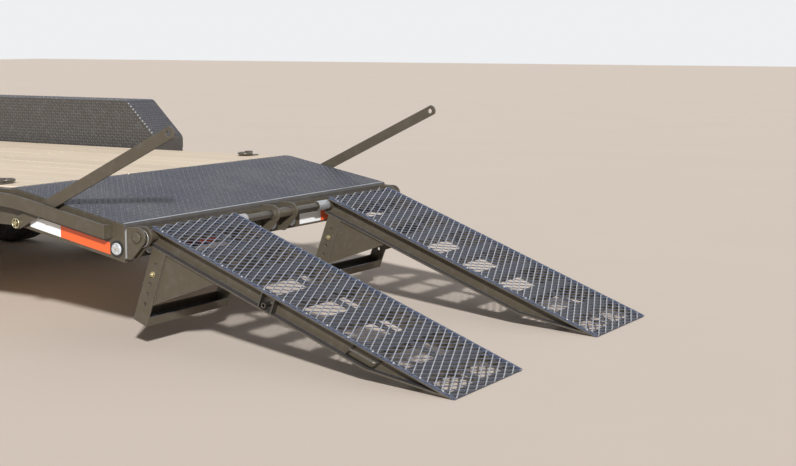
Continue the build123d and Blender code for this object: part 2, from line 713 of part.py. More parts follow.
def arm():
    """Left brace arm: a flat bar with a round heel on its pivot and a drilled, clipped tip."""
    run = ARM_TIP_X - ARM_PIVOT_X
    rise = ARM_TIP_Z - ARM_PIVOT_Z
    length = sqrt(run ** 2 + rise ** 2)
    half = ARM_WIDTH / 2
    end = length + ARM_BEYOND_HOLE
    bar = outline((0, -half), (end - ARM_CORNER, -half), (end, -ARM_NOSE / 2), (end, ARM_NOSE / 2),
                  (end - ARM_CORNER, half), (0, half))
    bar += Circle(half)
    bar -= Circle(ARM_PIN_RADIUS + ARM_PIN_CLEARANCE)
    bar -= Pos(length, 0) * Circle(ARM_HOLE_RADIUS)
    angle = degrees(atan(rise / run)) + 180
    return side_view(Pos(ARM_PIVOT_X, ARM_PIVOT_Z) * Rot(0, 0, angle) * bar, ARM_Y, ARM_Y + ARM_THICKNESS)


def tyre():
    """Tyre section turned about the wheel's axis."""
    half = TYRE_HALF_WIDTH
    bead = RIM_HALF_WIDTH - TYRE_BEAD_INSET
    seat = RIM_RADIUS + TYRE_SEAT_GAP
    shoulder = TYRE_RADIUS - TYRE_SHOULDER_DROP
    shoulder_y = half - TYRE_SHOULDER_INSET
    tread_y = half - TYRE_TREAD_INSET
    outer = [(seat, -bead), (TYRE_WIDEST_RADIUS, -half), (shoulder, -shoulder_y), (TYRE_RADIUS, -tread_y),
             (TYRE_RADIUS, tread_y), (shoulder, shoulder_y), (TYRE_WIDEST_RADIUS, half), (seat, bead)]
    crown = TYRE_RADIUS - TYRE_CROWN
    lining_y = half - TYRE_LINING_INSET
    inner = [(seat, bead - TYRE_BEAD), (crown, lining_y), (crown, -lining_y), (seat, TYRE_BEAD - bead)]
    return revolve(outline(*outer, *inner), axis=Axis.Y)


def wheel():
    """Drop-centre steel wheel with round windows, and the hub and brake drum that turn with it."""
    lip = RIM_RADIUS + RIM_FLANGE
    well = RIM_RADIUS - RIM_WELL
    half = RIM_HALF_WIDTH
    t = RIM_WALL
    rim = outline((lip, -half - t), (lip, -half), (RIM_RADIUS, -half), (RIM_RADIUS, -half / 2),
                  (well, -half / 3), (well, half / 3), (RIM_RADIUS, half / 2), (RIM_RADIUS, half), (lip, half), (lip, half + t),
                  (RIM_RADIUS - t, half + t), (RIM_RADIUS - t, half / 2 + t), (well - t, half / 3 + t / 2),
                  (well - t, -half / 3 - t / 2), (RIM_RADIUS - t, -half / 2 - t), (RIM_RADIUS - t, -half - t))
    disc_back = HUB_FACE - DISC_PLATE
    crest = HUB_FACE + DISC_RISE
    behind = DISC_PLATE / 2
    disc = outline((well - t / 2, half / 3), (well - t / 2, half / 3 - DISC_EDGE),
                   (DISC_RISE_RADIUS + behind, crest - DISC_PLATE), (DISC_SEAT_RADIUS + behind, disc_back),
                   (0, disc_back), (0, HUB_FACE), (DISC_SEAT_RADIUS, HUB_FACE), (DISC_RISE_RADIUS, crest))
    body = revolve(rim, axis=Axis.Y) + revolve(disc, axis=Axis.Y)
    for index in range(RIM_WINDOWS):
        turn = Rot(0, index * 360 / RIM_WINDOWS, 0)
        body -= turn * rod_y(RIM_WINDOW_CIRCLE, 0, -half, half, RIM_WINDOW_RADIUS)
    drum_start = RUB_FACE + DRUM_CLEARANCE - WHEEL_Y
    drum = rod_y(0, 0, drum_start, disc_back, DRUM_RADIUS)
    drum -= rod_y(0, 0, drum_start - 1, disc_back - DRUM_WALL, DRUM_RADIUS - DRUM_WALL)
    hub = rod_y(0, 0, drum_start + HUB_INSET, HUB_FACE + HUB_PROUD, HUB_RADIUS)
    hub += rod_y(0, 0, 0, HUB_FACE + CAP_LENGTH, CAP_RADIUS)
    body += drum + hub
    for index in range(LUG_COUNT):
        turn = Rot(0, index * 360 / LUG_COUNT, 0)
        body += turn * rod_y(LUG_CIRCLE, 0, disc_back, HUB_FACE + LUG_LENGTH, LUG_RADIUS)
    bore = rod_y(0, 0, drum_start - 1, HUB_FACE + CAP_LENGTH - CAP_END, SPINDLE_RADIUS + SPINDLE_CLEARANCE)
    return body - bore


def axle():
    """Axle tube with its spindles, brake backing plates and spring seats, at x = 0."""
    z = TYRE_RADIUS
    backing_outer = RUB_FACE + DRUM_CLEARANCE - BACKING_GAP
    tube = rod_y(0, z, -backing_outer, backing_outer, AXLE_TUBE_RADIUS)
    spindle_end = WHEEL_Y + HUB_FACE + CAP_LENGTH - CAP_END - SPINDLE_END_GAP
    tube += rod_y(0, z, -spindle_end, spindle_end, SPINDLE_RADIUS)
    half = SEAT_LENGTH / 2
    wide = SPRING_WIDTH / 2
    below = z - AXLE_TUBE_RADIUS
    for side in (-1, 1):
        y0 = side * backing_outer
        y1 = side * (backing_outer - BACKING_THICKNESS)
        tube += rod_y(0, z, min(y0, y1), max(y0, y1), BACKING_RADIUS)
        seat_y = side * SPRING_Y
        tube += block(-half, half, seat_y - wide, seat_y + wide, z, z + AXLE_TUBE_RADIUS + SEAT_HEIGHT)
        tube += block(-half, half, seat_y - wide - TIE_OVERHANG, seat_y + wide + TIE_OVERHANG,
                      below - TIE_PLATE, below + TIE_SINK)
    return tube


def leaf_spring():
    """Leaf pack at x = 0: stacked leaves, each shorter than the one above, and an eye at each end."""
    y0 = SPRING_Y - SPRING_WIDTH / 2
    y1 = SPRING_Y + SPRING_WIDTH / 2
    base = TYRE_RADIUS + AXLE_TUBE_RADIUS + SEAT_HEIGHT
    eye_z = RAIL_BOTTOM_Z - SPRING_EYE_BELOW_RAIL
    top_mid = base + LEAF_COUNT * LEAF_THICKNESS
    camber = eye_z - SPRING_EYE_RADIUS + LEAF_THICKNESS - top_mid
    sketch = None
    for index in range(LEAF_COUNT):
        reach = SPRING_HALF_SPAN - index * LEAF_STEP
        low_mid = top_mid - (index + 1) * LEAF_THICKNESS
        high_mid = low_mid + LEAF_THICKNESS
        lift = camber * (reach / SPRING_HALF_SPAN) ** 2
        edge = [ThreePointArc((-reach, low_mid + lift), (0, low_mid), (reach, low_mid + lift)),
                Line((reach, low_mid + lift), (reach, high_mid + lift)),
                ThreePointArc((reach, high_mid + lift), (0, high_mid), (-reach, high_mid + lift)),
                Line((-reach, high_mid + lift), (-reach, low_mid + lift))]
        leaf = make_face(Curve() + edge)
        sketch = leaf if sketch is None else sketch + leaf
    pack = side_view(sketch, y0, y1)
    for side in (-1, 1):
        pack += rod_y(side * SPRING_HALF_SPAN, eye_z, y0, y1, SPRING_EYE_RADIUS)
    for side in (-1, 1):
        pack -= rod_y(side * SPRING_HALF_SPAN, eye_z, y0 - 1, y1 + 1, SPRING_EYE_BORE + SPRING_PIN_CLEARANCE)
    return pack


def hangers():
    """Left side's spring hangers, equaliser and their pins."""
    eye_z = RAIL_BOTTOM_Z - SPRING_EYE_BELOW_RAIL
    half = SPRING_WIDTH / 2 + HANGER_SIDE_GAP
    pieces = []
    tip = HANGER_TIP / 2
    pin_reach = half + HANGER_PLATE + HANGER_PIN_PROUD
    for x in (AXLES["rear"] - SPRING_HALF_SPAN, AXLES["front"] + SPRING_HALF_SPAN):
        hanger = rod_y(x, eye_z, SPRING_Y - pin_reach, SPRING_Y + pin_reach, SPRING_EYE_BORE)
        for side in (-1, 1):
            y0 = SPRING_Y + side * half
            y1 = y0 + side * HANGER_PLATE
            plate = outline((x - HANGER_LENGTH / 2, RAIL_BOTTOM_Z), (x + HANGER_LENGTH / 2, RAIL_BOTTOM_Z),
                            (x + tip, eye_z - tip), (x - tip, eye_z - tip))
            hanger += side_view(plate, min(y0, y1), max(y0, y1))
        pieces.append(hanger)
    middle = AXLE_MIDDLE_X
    inner = AXLE_SPACING / 2 - SPRING_HALF_SPAN
    reach = inner + LINK_BEYOND_EYE
    low = eye_z - LINK_HEIGHT / 2
    high = eye_z + LINK_HEIGHT / 2
    crest = eye_z + LINK_CREST_RISE
    pin_reach = half + 2 * HANGER_PLATE + LINK_PROUD
    centre = None
    for x, z in ((middle - inner, eye_z), (middle + inner, eye_z), (middle, eye_z + LINK_PIVOT_RISE)):
        pin = rod_y(x, z, SPRING_Y - pin_reach, SPRING_Y + pin_reach, SPRING_EYE_BORE)
        centre = pin if centre is None else centre + pin
    post = outline((middle - POST_LENGTH / 2, RAIL_BOTTOM_Z), (middle + POST_LENGTH / 2, RAIL_BOTTOM_Z),
                   (middle + POST_TIP / 2, eye_z), (middle - POST_TIP / 2, eye_z))
    link = outline((middle - reach, low), (middle + reach, low), (middle + reach, high),
                   (middle + LINK_CREST / 2, crest), (middle - LINK_CREST / 2, crest), (middle - reach, high))
    for side in (-1, 1):
        y0 = SPRING_Y + side * half
        y1 = y0 + side * HANGER_PLATE
        y2 = y1 + side * LINK_GAP
        y3 = y2 + side * HANGER_PLATE
        centre += side_view(post, min(y0, y1), max(y0, y1)) + side_view(link, min(y2, y3), max(y2, y3))
    pieces.append(centre)
    return pieces


def fender():
    """Left fender: folded treadplate over both wheels, open below, bolted to the rub rail."""
    rear = AXLE_MIDDLE_X - FENDER_LENGTH / 2
    front = AXLE_MIDDLE_X + FENDER_LENGTH / 2
    run = FENDER_SLOPE_RUN
    inner_y = RUB_FACE
    outer_y = FENDER_OVERALL / 2
    t = FENDER_SHEET
    side = outline((rear, FENDER_INNER_BOTTOM), (rear, FENDER_SHOULDER), (rear + run, FENDER_TOP),
                   (front - run, FENDER_TOP), (front, FENDER_SHOULDER), (front, FENDER_INNER_BOTTOM))
    bends = [v for v in side.vertices() if v.Y > FENDER_INNER_BOTTOM + 1]
    side = fillet(bends, radius=FENDER_BEND_RADIUS)
    hollow = offset(side, amount=-t, kind=Kind.INTERSECTION)
    body = side_view(side, inner_y, outer_y) - side_view(hollow, inner_y + t, outer_y - t)
    bottom = FENDER_INNER_BOTTOM - 1
    body -= block(rear + t, front - t, inner_y + t, outer_y - t, bottom, FENDER_INNER_BOTTOM + 2 * t)
    skirt_cut = block(rear - 1, front + 1, outer_y - t - 1, outer_y + 1, bottom, FENDER_SKIRT_BOTTOM)
    return body - skirt_cut


def tongue_rail():
    """Left rail of the tongue: a channel that runs out at an angle below the frame to the coupler."""
    top = RAIL_BOTTOM_Z
    bottom = top - TONGUE_DEPTH
    reach = (WEB_INNER - TONGUE_TIP_Y) / sin(radians(TONGUE_ANGLE))
    channel = block(0, reach, 0, TONGUE_FLANGE, bottom, top)
    channel -= block(-1, reach + 1, TONGUE_WALL, TONGUE_FLANGE + 1, bottom + TONGUE_WALL, top - TONGUE_WALL)
    placed = Pos(TONGUE_TIP_X, TONGUE_TIP_Y, 0) * Rot(0, 0, 180 - TONGUE_ANGLE) * mirrored(channel)
    beyond_tip = block(TONGUE_TIP_X, TONGUE_TIP_X + reach, -reach, reach, bottom - 1, top + 1)
    across_middle = block(TONGUE_TIP_X - reach, TONGUE_TIP_X, -reach, 0, bottom - 1, top + 1)
    outside_frame = block(DECK_FRONT - reach, DECK_FRONT, HALF_FRAME, HALF_FRAME + reach, bottom - 1, top + 1)
    return placed - beyond_tip - across_middle - outside_frame


def coupler_channel():
    """Upright drilled channel on the tip of the tongue, that sets the coupler's height."""
    top = RAIL_BOTTOM_Z
    half = COUPLER_CHANNEL_WIDTH / 2
    wide = half + COUPLER_PLATE_MARGIN
    wall = COUPLER_CHANNEL_WALL
    x1 = TONGUE_TIP_X + COUPLER_PLATE
    x2 = x1 + COUPLER_CHANNEL_FLANGE
    z0 = COUPLER_Z - COUPLER_CHANNEL_HEIGHT / 2
    z1 = COUPLER_Z + COUPLER_CHANNEL_HEIGHT / 2
    plate = block(TONGUE_TIP_X, x1, -wide, wide, top - TONGUE_DEPTH, top)
    channel = block(x1, x2, -half, half, z0, z1)
    channel -= block(x1 + wall, x2 + 1, wall - half, half - wall, z0 - 1, z1 + 1)
    for index in range(COUPLER_HOLE_COUNT):
        z = z0 + COUPLER_HOLE_FIRST + index * COUPLER_HOLE_PITCH
        channel -= rod_y(x1 + COUPLER_HOLE_BACK, z, -half - 1, half + 1, COUPLER_HOLE_RADIUS)
    return plate + channel


def coupler():
    """Coupler: a body held in the channel, a nose over the ball and a latch on top."""
    x1 = TONGUE_TIP_X + COUPLER_PLATE
    inset = COUPLER_CHANNEL_WALL + COUPLER_FIT
    half = COUPLER_CHANNEL_WIDTH / 2 - inset
    z0 = COUPLER_Z - COUPLER_BELOW
    z1 = COUPLER_Z + COUPLER_ABOVE
    ball_x = COUPLER_FRONT - BALL_RADIUS - SOCKET_WALL
    nose = BALL_RADIUS + SOCKET_WALL
    body = block(x1 + inset, x1 + COUPLER_CHANNEL_FLANGE + SHANK_LAP, -half, half, z0, z1)
    body += block(x1 + COUPLER_CHANNEL_FLANGE, ball_x, -nose, nose, COUPLER_Z, z1)
    body += rod_z(ball_x, 0, z0, z1, nose)
    body -= rod_z(ball_x, 0, z0 - 1, z0 + SOCKET_DEPTH, BALL_RADIUS + BALL_CLEARANCE)
    side = LATCH_SIZE / 2
    latch = block(ball_x - LATCH_BACK, ball_x + LATCH_FRONT, -side, side, z1, z1 + LATCH_SIZE)
    return body + latch


def jack_body():
    """Outer tube of the jack with its bracket across the tongue rails."""
    top = RAIL_BOTTOM_Z
    half = TONGUE_TIP_Y + JACK_BACK * tan(radians(TONGUE_ANGLE))
    bracket = block(JACK_X - JACK_BRACKET_HALF, JACK_X + JACK_BRACKET_HALF, -half, half,
                    top, top + JACK_BRACKET)
    tube = rod_z(JACK_X, 0, JACK_TUBE_BOTTOM, JACK_TOP, JACK_TUBE_RADIUS)
    inside = JACK_TUBE_RADIUS - JACK_TUBE_WALL
    bore = rod_z(JACK_X, 0, JACK_TUBE_BOTTOM - 1, JACK_TOP - JACK_TUBE_WALL, inside)
    return bracket + tube - bore


def jack_leg():
    """Inner leg of the jack and the foot that it stands on."""
    top = JACK_TOP - JACK_LEG_BELOW_TOP
    leg = rod_z(JACK_X, 0, 0, top, JACK_LEG_RADIUS)
    leg -= rod_z(JACK_X, 0, JACK_FOOT_THICKNESS, top + 1, JACK_LEG_RADIUS - JACK_LEG_WALL)
    half = JACK_FOOT_SIZE / 2
    return leg + block(JACK_X - half, JACK_X + half, -half, half, 0, JACK_FOOT_THICKNESS)


def jack_crank():
    """Crank arm on top of the jack, turned to the rear, with its upright knob."""
    arm_z = JACK_TOP + CRANK_RISE
    knob_x = JACK_X - CRANK_REACH
    crank = rod_z(JACK_X, 0, JACK_TOP, arm_z + CRANK_HUB_RADIUS, CRANK_HUB_RADIUS)
    crank += rod_x(0, arm_z, knob_x, JACK_X, CRANK_RADIUS)
    return crank + rod_z(knob_x, 0, arm_z - CRANK_HUB_RADIUS, arm_z + CRANK_KNOB, CRANK_HUB_RADIUS)


def stop_rail():
    """Low square-tube rail across the front of the deck, on short posts."""
    x1 = DECK_FRONT
    x0 = x1 - STOP_RAIL_SIZE
    top = DECK_TOP + STOP_RAIL_HEIGHT
    rail = block(x0, x1, -HALF_FRAME, HALF_FRAME, top - STOP_RAIL_SIZE, top)
    start = -STOP_POST_SPACING * (STOP_POST_COUNT - 1) / 2
    for index in range(STOP_POST_COUNT):
        y = start + index * STOP_POST_SPACING
        rail += block(x0, x1, y - STOP_RAIL_SIZE / 2, y + STOP_RAIL_SIZE / 2, DECK_TOP, top)
    return rail


def tie_down_rings():
    """Round rings held by straps on square base plates, near the deck's corners."""
    base = RING_BASE / 2
    half_strap = RING_STRAP / 2
    z = DECK_TOP + RING_BASE_THICKNESS
    strap_top = z + 2 * RING_WIRE + 2 * RING_LIFT + RING_STRAP_THICKNESS
    pieces = []
    for x in (RING_X_REAR, RING_X_FRONT):
        piece = block(x - base, x + base, RING_Y - base, RING_Y + base, DECK_TOP, z)
        piece += block(x - half_strap, x + half_strap, RING_Y - half_strap, RING_Y + half_strap, z, strap_top)
        piece += Pos(x, RING_Y - RING_RADIUS, z + RING_WIRE + RING_LIFT) * Torus(RING_RADIUS, RING_WIRE)
        pieces += [piece, mirrored(piece)]
    return pieces


def tape(x0, x1):
    """Strip of tape on the left side of the tail between two distances along it."""
    top = TAPE_BELOW_DECK
    upper = [(x0, surface(x0, top)), (x1, surface(x1, top))]
    lower = [(x1, surface(x1, top + TAPE_HEIGHT)), (x0, surface(x0, top + TAPE_HEIGHT))]
    return side_view(outline(*upper, *lower), HALF_FRAME, HALF_FRAME + TAPE_THICKNESS)


def rear_tape(y0, y1):
    """Strip of tape on the rear face of the beam."""
    bottom = BEAM_TOP_Z - BEAM_HEIGHT + TAPE_ABOVE_BEAM
    return block(-TAPE_THICKNESS, 0, y0, y1, bottom, bottom + TAPE_HEIGHT)


def grommet(hole, bore, depth):
    """Rubber grommet on a lamp hole: a rim outside the plate and a sleeve inside it, facing +z."""
    body = extrude(offset(hole, amount=GROMMET_RIM), amount=GROMMET_DEPTH)
    body += extrude(offset(hole, amount=-GROMMET_FIT), amount=-depth)
    return body - extrude(bore, amount=depth + GROMMET_DEPTH + 1, both=True)


def lens(bore, depth):
    """Lamp lens that fills its grommet and stands a little proud of it, facing +z."""
    face = offset(bore, amount=-GROMMET_FIT)
    body = extrude(face, amount=GROMMET_DEPTH + LENS_DOME) + extrude(face, amount=-depth)
    top = body.faces().sort_by(Axis.Z)[-1]
    return fillet(top.edges(), radius=LENS_ROUNDING)


def lamps():
    """Round lamps on the sides and the beam and the oval tail lamps, as grommets, clear and red lenses."""
    round_hole = Circle(MARKER_HOLE_RADIUS)
    round_bore = Circle(MARKER_HOLE_RADIUS - GROMMET_SLEEVE)
    oval_hole = SlotOverall(TAIL_LAMP_LENGTH, TAIL_LAMP_HEIGHT)
    oval_bore = SlotOverall(TAIL_LAMP_LENGTH - 2 * GROMMET_SLEEVE, TAIL_LAMP_HEIGHT - 2 * GROMMET_SLEEVE)
    facing_rear = Rot(0, -90, 0) * Rot(0, 0, 90)
    facing_left = Pos(MARKER_X, HALF_FRAME, MARKER_Z) * Rot(-90, 0, 0)
    side_grommet = facing_left * grommet(round_hole, round_bore, RAIL_WALL)
    side_lens = facing_left * lens(round_bore, RAIL_WALL)
    grommets = [side_grommet, mirrored(side_grommet)]
    clear = [side_lens, mirrored(side_lens)]
    red = []
    for y in round_lamp_places():
        place = Pos(0, y, REAR_LAMP_Z) * facing_rear
        grommets.append(place * grommet(round_hole, round_bore, BEAM_WALL))
        clear.append(place * lens(round_bore, BEAM_WALL))
    for y in (-TAIL_LAMP_Y, TAIL_LAMP_Y):
        place = Pos(0, y, REAR_LAMP_Z) * facing_rear
        grommets.append(place * grommet(oval_hole, oval_bore, BEAM_WALL))
        red.append(place * lens(oval_bore, BEAM_WALL))
    return grommets, clear, red


def arm_pins():
    """Stub pins that the brace arms turn on, each held by a ring clip through its outer end."""
    pin = rod_y(ARM_PIVOT_X, ARM_PIVOT_Z, HALF_FRAME, ARM_PIN_END, ARM_PIN_RADIUS)
    clip_y = ARM_PIN_END - LINCH_FROM_END
    low = ARM_PIVOT_Z - LINCH_RING_RADIUS
    high = ARM_PIVOT_Z + LINCH_RING_RADIUS
    clip = rod_z(ARM_PIVOT_X, clip_y, low, high, LINCH_WIRE)
    ring = Pos(ARM_PIVOT_X, clip_y, ARM_PIVOT_Z) * Rot(90, 0, 0) * Torus(LINCH_RING_RADIUS, LINCH_WIRE)
    left = pin + clip + ring
    return [left, mirrored(left)]


def reflective_tape():
    """Red and white strips on the sides of the tail and on the rear face of its beam."""
    red_end = TAPE_SIDE_START + TAPE_RED
    red = [tape(TAPE_SIDE_START, red_end)]
    white = [tape(red_end, red_end + TAPE_WHITE)]
    white_end = TAPE_REAR_START + TAPE_WHITE
    white.append(rear_tape(TAPE_REAR_START, white_end))
    lamp_edge = TAIL_LAMP_Y - TAIL_LAMP_LENGTH / 2 - GROMMET_RIM
    red.append(rear_tape(white_end, lamp_edge - TAPE_LAMP_GAP))
    return [pieces + [mirrored(piece) for piece in pieces] for pieces in (red, white)]


def main():
    os.makedirs("parts", exist_ok=True)
    rail = side_rail()
    save("side_rail_left", rail)
    save("side_rail_right", mirrored(rail))
    save("cross_members", *cross_members())
    save("front_header", front_header())
    save("deck_planks", *deck_planks())
    save("tail_plate", tail_plate())
    save("tail_ribs", *tail_ribs())
    save("rear_beam", rear_beam())
    save("hinge_ears", *hinge_ears())
    save("hinge_shaft", hinge_shaft())
    rub = rub_rail()
    save("rub_rail_left", rub)
    save("rub_rail_right", mirrored(rub))
    frame, mesh, leg, brace = ramp_frame(), ramp_mesh(), ramp_leg(), arm()
    fittings = ramp_fittings()
    save("ramp_frame_left", frame)
    save("ramp_frame_right", mirrored(frame))
    save("ramp_mesh_left", mesh)
    save("ramp_mesh_right", mirrored(mesh))
    save("ramp_leg_left", leg)
    save("ramp_leg_right", mirrored(leg))
    save("ramp_fittings_left", *fittings)
    save("ramp_fittings_right", *[mirrored(piece) for piece in fittings])
    save("brace_arm_left", brace)
    save("brace_arm_right", mirrored(brace))
    tyre_solid, wheel_solid, axle_solid, spring = tyre(), wheel(), axle(), leaf_spring()
    for name, x in AXLES.items():
        save(f"axle_{name}", Pos(x, 0, 0) * axle_solid)
        place = Pos(x, WHEEL_Y, TYRE_RADIUS)
        save(f"tyre_{name}_left", place * tyre_solid)
        save(f"tyre_{name}_right", mirrored(place * tyre_solid))
        save(f"wheel_{name}_left", place * wheel_solid)
        save(f"wheel_{name}_right", mirrored(place * wheel_solid))
    springs = [Pos(x, 0, 0) * spring for x in AXLES.values()]
    save("leaf_springs_left", *springs)
    save("leaf_springs_right", *[mirrored(piece) for piece in springs])
    hanger_set = hangers()
    save("spring_hangers_left", *hanger_set)
    save("spring_hangers_right", *[mirrored(piece) for piece in hanger_set])
    cover = fender()
    save("fender_left", cover)
    save("fender_right", mirrored(cover))
    tongue = tongue_rail()
    save("tongue_rail_left", tongue)
    save("tongue_rail_right", mirrored(tongue))
    save("coupler_channel", coupler_channel())
    save("coupler", coupler())
    save("jack_body", jack_body())
    save("jack_leg", jack_leg())
    save("jack_crank", jack_crank())
    save("stop_rail", stop_rail())
    save("tie_down_rings", *tie_down_rings())
    grommets, clear, red = lamps()
    save("lamp_grommets", *grommets)
    save("marker_lenses", *clear)
    save("tail_lenses", *red)
    save("arm_pins", *arm_pins())
    red_tape, white_tape = reflective_tape()
    save("tape_red", *red_tape)
    save("tape_white", *white_tape)


main()
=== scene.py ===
"""Finishes, tyres, raised treads, lamps and fastenings for a tandem-axle car-hauling trailer."""
import json
import math

import bmesh
import bpy
from bpy.props import FloatProperty, FloatVectorProperty, IntProperty, PointerProperty
from bpy.types import Operator, Panel, PropertyGroup
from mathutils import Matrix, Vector, noise


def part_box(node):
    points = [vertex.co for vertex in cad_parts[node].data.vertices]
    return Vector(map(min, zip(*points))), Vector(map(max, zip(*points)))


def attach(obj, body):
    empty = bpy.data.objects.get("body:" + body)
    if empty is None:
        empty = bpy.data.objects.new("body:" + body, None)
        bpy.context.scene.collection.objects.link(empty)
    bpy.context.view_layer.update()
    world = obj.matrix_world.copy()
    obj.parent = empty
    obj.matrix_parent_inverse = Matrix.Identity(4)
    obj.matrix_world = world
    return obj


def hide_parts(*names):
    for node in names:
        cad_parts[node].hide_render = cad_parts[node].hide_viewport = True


bl_info = {
    "name": "Car hauler trailer",
    "version": (1, 0, 0),
    "blender": (4, 5, 0),
    "location": "View3D > Sidebar > Trailer",
    "description": "Finishes and detail pieces for a wood-deck trailer with fold-down ramps",
    "category": "Object",
}

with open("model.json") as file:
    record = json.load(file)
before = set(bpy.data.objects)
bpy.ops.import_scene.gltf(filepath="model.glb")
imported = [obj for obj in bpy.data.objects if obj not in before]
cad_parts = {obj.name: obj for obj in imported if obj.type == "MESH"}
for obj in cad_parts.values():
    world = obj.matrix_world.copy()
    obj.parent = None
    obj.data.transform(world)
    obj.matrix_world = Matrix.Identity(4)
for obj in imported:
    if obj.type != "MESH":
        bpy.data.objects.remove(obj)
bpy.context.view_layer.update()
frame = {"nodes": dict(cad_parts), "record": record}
SIDES = {"left": 1, "right": -1}
AXLES = ("front", "rear")

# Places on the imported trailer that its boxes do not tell, in metres.
TREAD_DEPTH = 0.010
TAIL_KNEE, TAIL_RISE = 0.040, 0.114
FENDER_SHOULDER, FENDER_RUN = 0.218, 0.228
CROSS_FLANGE = 0.036
WHEEL_SEAT = 0.1908
LEG_BOLT_ALONG, LEG_BOLT_BELOW = 0.065, 0.1917
SPRING_LINE = 0.972
EAR_WASHER, LOCK_RING = 0.9405, 0.968
BARREL_START, BARREL_LENGTH = 0.2815, 0.086
EAR_FACES = ((0.945, -1), (0.955, 1), (0.985, -1), (0.995, 1))

# Shader colours of the dirt on the running gear.
GEAR_DUST = (0.16, 0.14, 0.12)
TYRE_DUST = (0.15, 0.135, 0.12)
BRAKE_DUST = (0.12, 0.11, 0.10)


def linear(red, green, blue):
    """Shader colour of three display values from 0 to 255."""
    return tuple((value / 255) ** 2.2 for value in (red, green, blue))


def colour_property(name, description, red, green, blue):
    return FloatVectorProperty(name=name, description=description, subtype="COLOR", size=3,
                               min=0, max=1, default=linear(red, green, blue))


def length_property(name, description, metres):
    return FloatProperty(name=name, description=description, default=metres, min=0, unit="LENGTH")


def angle_property(name, description, degrees):
    return FloatProperty(name=name, description=description, default=math.radians(degrees),
                         subtype="ANGLE")


def count_property(name, description, default, least):
    return IntProperty(name=name, description=description, default=default, min=least)


class TrailerColours(PropertyGroup):
    frame_coat: colour_property("Frame", "Powder coat of the frame and ramps", 80, 73, 61)
    plate_coat: colour_property("Treadplate", "Powder coat of the tail plate and fenders", 70, 66, 62)
    # Bluish coat of the expanded metal: the blue is a painted reflection of the sky on paint that is the
    # frame's colour.
    mesh_coat_sky_tinted: colour_property("Ramp treads", "Coat of the expanded metal, blued by a painted sky reflection", 76, 84, 104)
    # Light colour for scuffed edges, also used for the painted highlights on tread crests and lug crowns.
    edge_wear_and_highlight: colour_property("Scuffed edges and highlights", "Colour of scuffed edges and of painted highlights", 196, 196, 198)
    # Blue-grey laid on upward faces: a painted reflection of the sky.
    upward_sky_reflection: colour_property("Painted sky reflection", "Painted reflection of the sky on upward faces", 32, 41, 64)
    black_coat: colour_property("Running gear", "Paint of axles and springs", 42, 42, 43)
    wood: colour_property("Deck", "Main colour of the planks", 236, 218, 195)
    wood_late: colour_property("Deck grain", "Colour of the darker grain", 206, 184, 154)
    rubber: colour_property("Tyres", "Tyre rubber", 44, 44, 45)
    rim: colour_property("Wheels", "Silver wheel paint", 176, 178, 180)
    zinc: colour_property("Plated parts", "Yellow zinc plating", 202, 192, 156)
    steel: colour_property("Bare steel", "Unpainted steel of shaft and studs", 112, 108, 102)
    red_tape: colour_property("Red tape", "Red reflective tape", 248, 98, 46)
    white_tape: colour_property("White tape", "White reflective tape", 238, 239, 240)
    red_lens: colour_property("Red lens", "Tail lamp lens", 168, 12, 16)
    clear_lens: colour_property("Clear lens", "Marker lamp lens", 226, 228, 232)


class TrailerSizes(PropertyGroup):
    cell_long: length_property("Cell length", "Long way of one cell of the ramp tread", 0.0745)
    cell_short: length_property("Cell width", "Short way of one cell of the ramp tread", 0.0336)
    strand_width: length_property("Strand width", "Width of a strand of the ramp tread", 0.0054)
    strand_thickness: length_property("Strand thickness", "Thickness of a strand of the ramp tread",
                                      0.0035)
    strand_tilt: angle_property("Strand tilt", "Lean of the strands out of the sheet", 26)
    tread_border: length_property("Tread border", "Thickness of the lip along each side of the tread",
                                  0.004)
    bond: length_property("Bond", "Half length of the joint between two strands", 0.0045)
    lug_pitch: length_property("Lug pitch", "Spacing of the raised lugs of the treadplate", 0.018)
    lug_length: length_property("Lug length", "Length of one raised lug", 0.018)
    lug_width: length_property("Lug width", "Width of one raised lug", 0.0058)
    lug_height: length_property("Lug height", "Height of one raised lug", 0.0015)
    plank_edge: length_property("Plank edge", "Rounding of the planks' long edges", 0.002)
    plank_count: count_property("Planks", "Boards side by side on the deck", 10, 1)
    plank_gap: length_property("Plank gap", "Gap between two boards", 0.003)
    cross_count: count_property("Cross members", "Members the boards are screwed to", 9, 2)
    tread_lugs: count_property("Tread lugs", "Shoulder lugs round one tyre", 64, 12)
    groove_depth: length_property("Groove depth", "Depth of the tyre's grooves", 0.008)
    weld_width: length_property("Weld width", "Width of a weld bead", 0.0044)


class TrailerStage(PropertyGroup):
    camera_place: FloatVectorProperty(name="Camera", description="Where the camera stands", size=3,
                                      subtype="XYZ", default=(-7.003, 5.290, 1.311))
    camera_yaw: angle_property("Camera heading", "Heading of the view from the forward axis", -58.385)
    camera_pitch: angle_property("Camera pitch", "Tilt of the view above the horizon", -7.878)
    lens: FloatProperty(name="Lens", description="Focal length in millimetres on a 36 mm film",
                        default=63.73)
    floor: colour_property("Floor", "Pale studio floor", 222, 207, 193)
    backdrop: colour_property("Backdrop", "Backdrop and ambient light", 238, 239, 241)
    ambient: FloatProperty(name="Ambient", description="Strength of the ambient light", default=0.25)
    key_strength: FloatProperty(name="Key light", description="Strength of the broad key light",
                                default=4.5, min=0)
    key_softness: angle_property("Key softness", "Apparent width of the key light", 3)
    key_heading: angle_property("Key heading", "Where the key light stands round the trailer", 131)
    key_height: angle_property("Key height", "Height of the key light above the floor", 26)


def pointing(heading, height):
    """Unit vector at a heading round the up axis and a height above the horizon."""
    level = math.cos(height)
    return Vector((level * math.cos(heading), level * math.sin(heading), math.sin(height)))


def circle(centre, across, up, radius, count):
    """Points evenly round a centre, from the first direction towards the second."""
    return [centre + (across * math.cos(a) + up * math.sin(a)) * radius
            for a in (math.tau * step / count for step in range(count))]


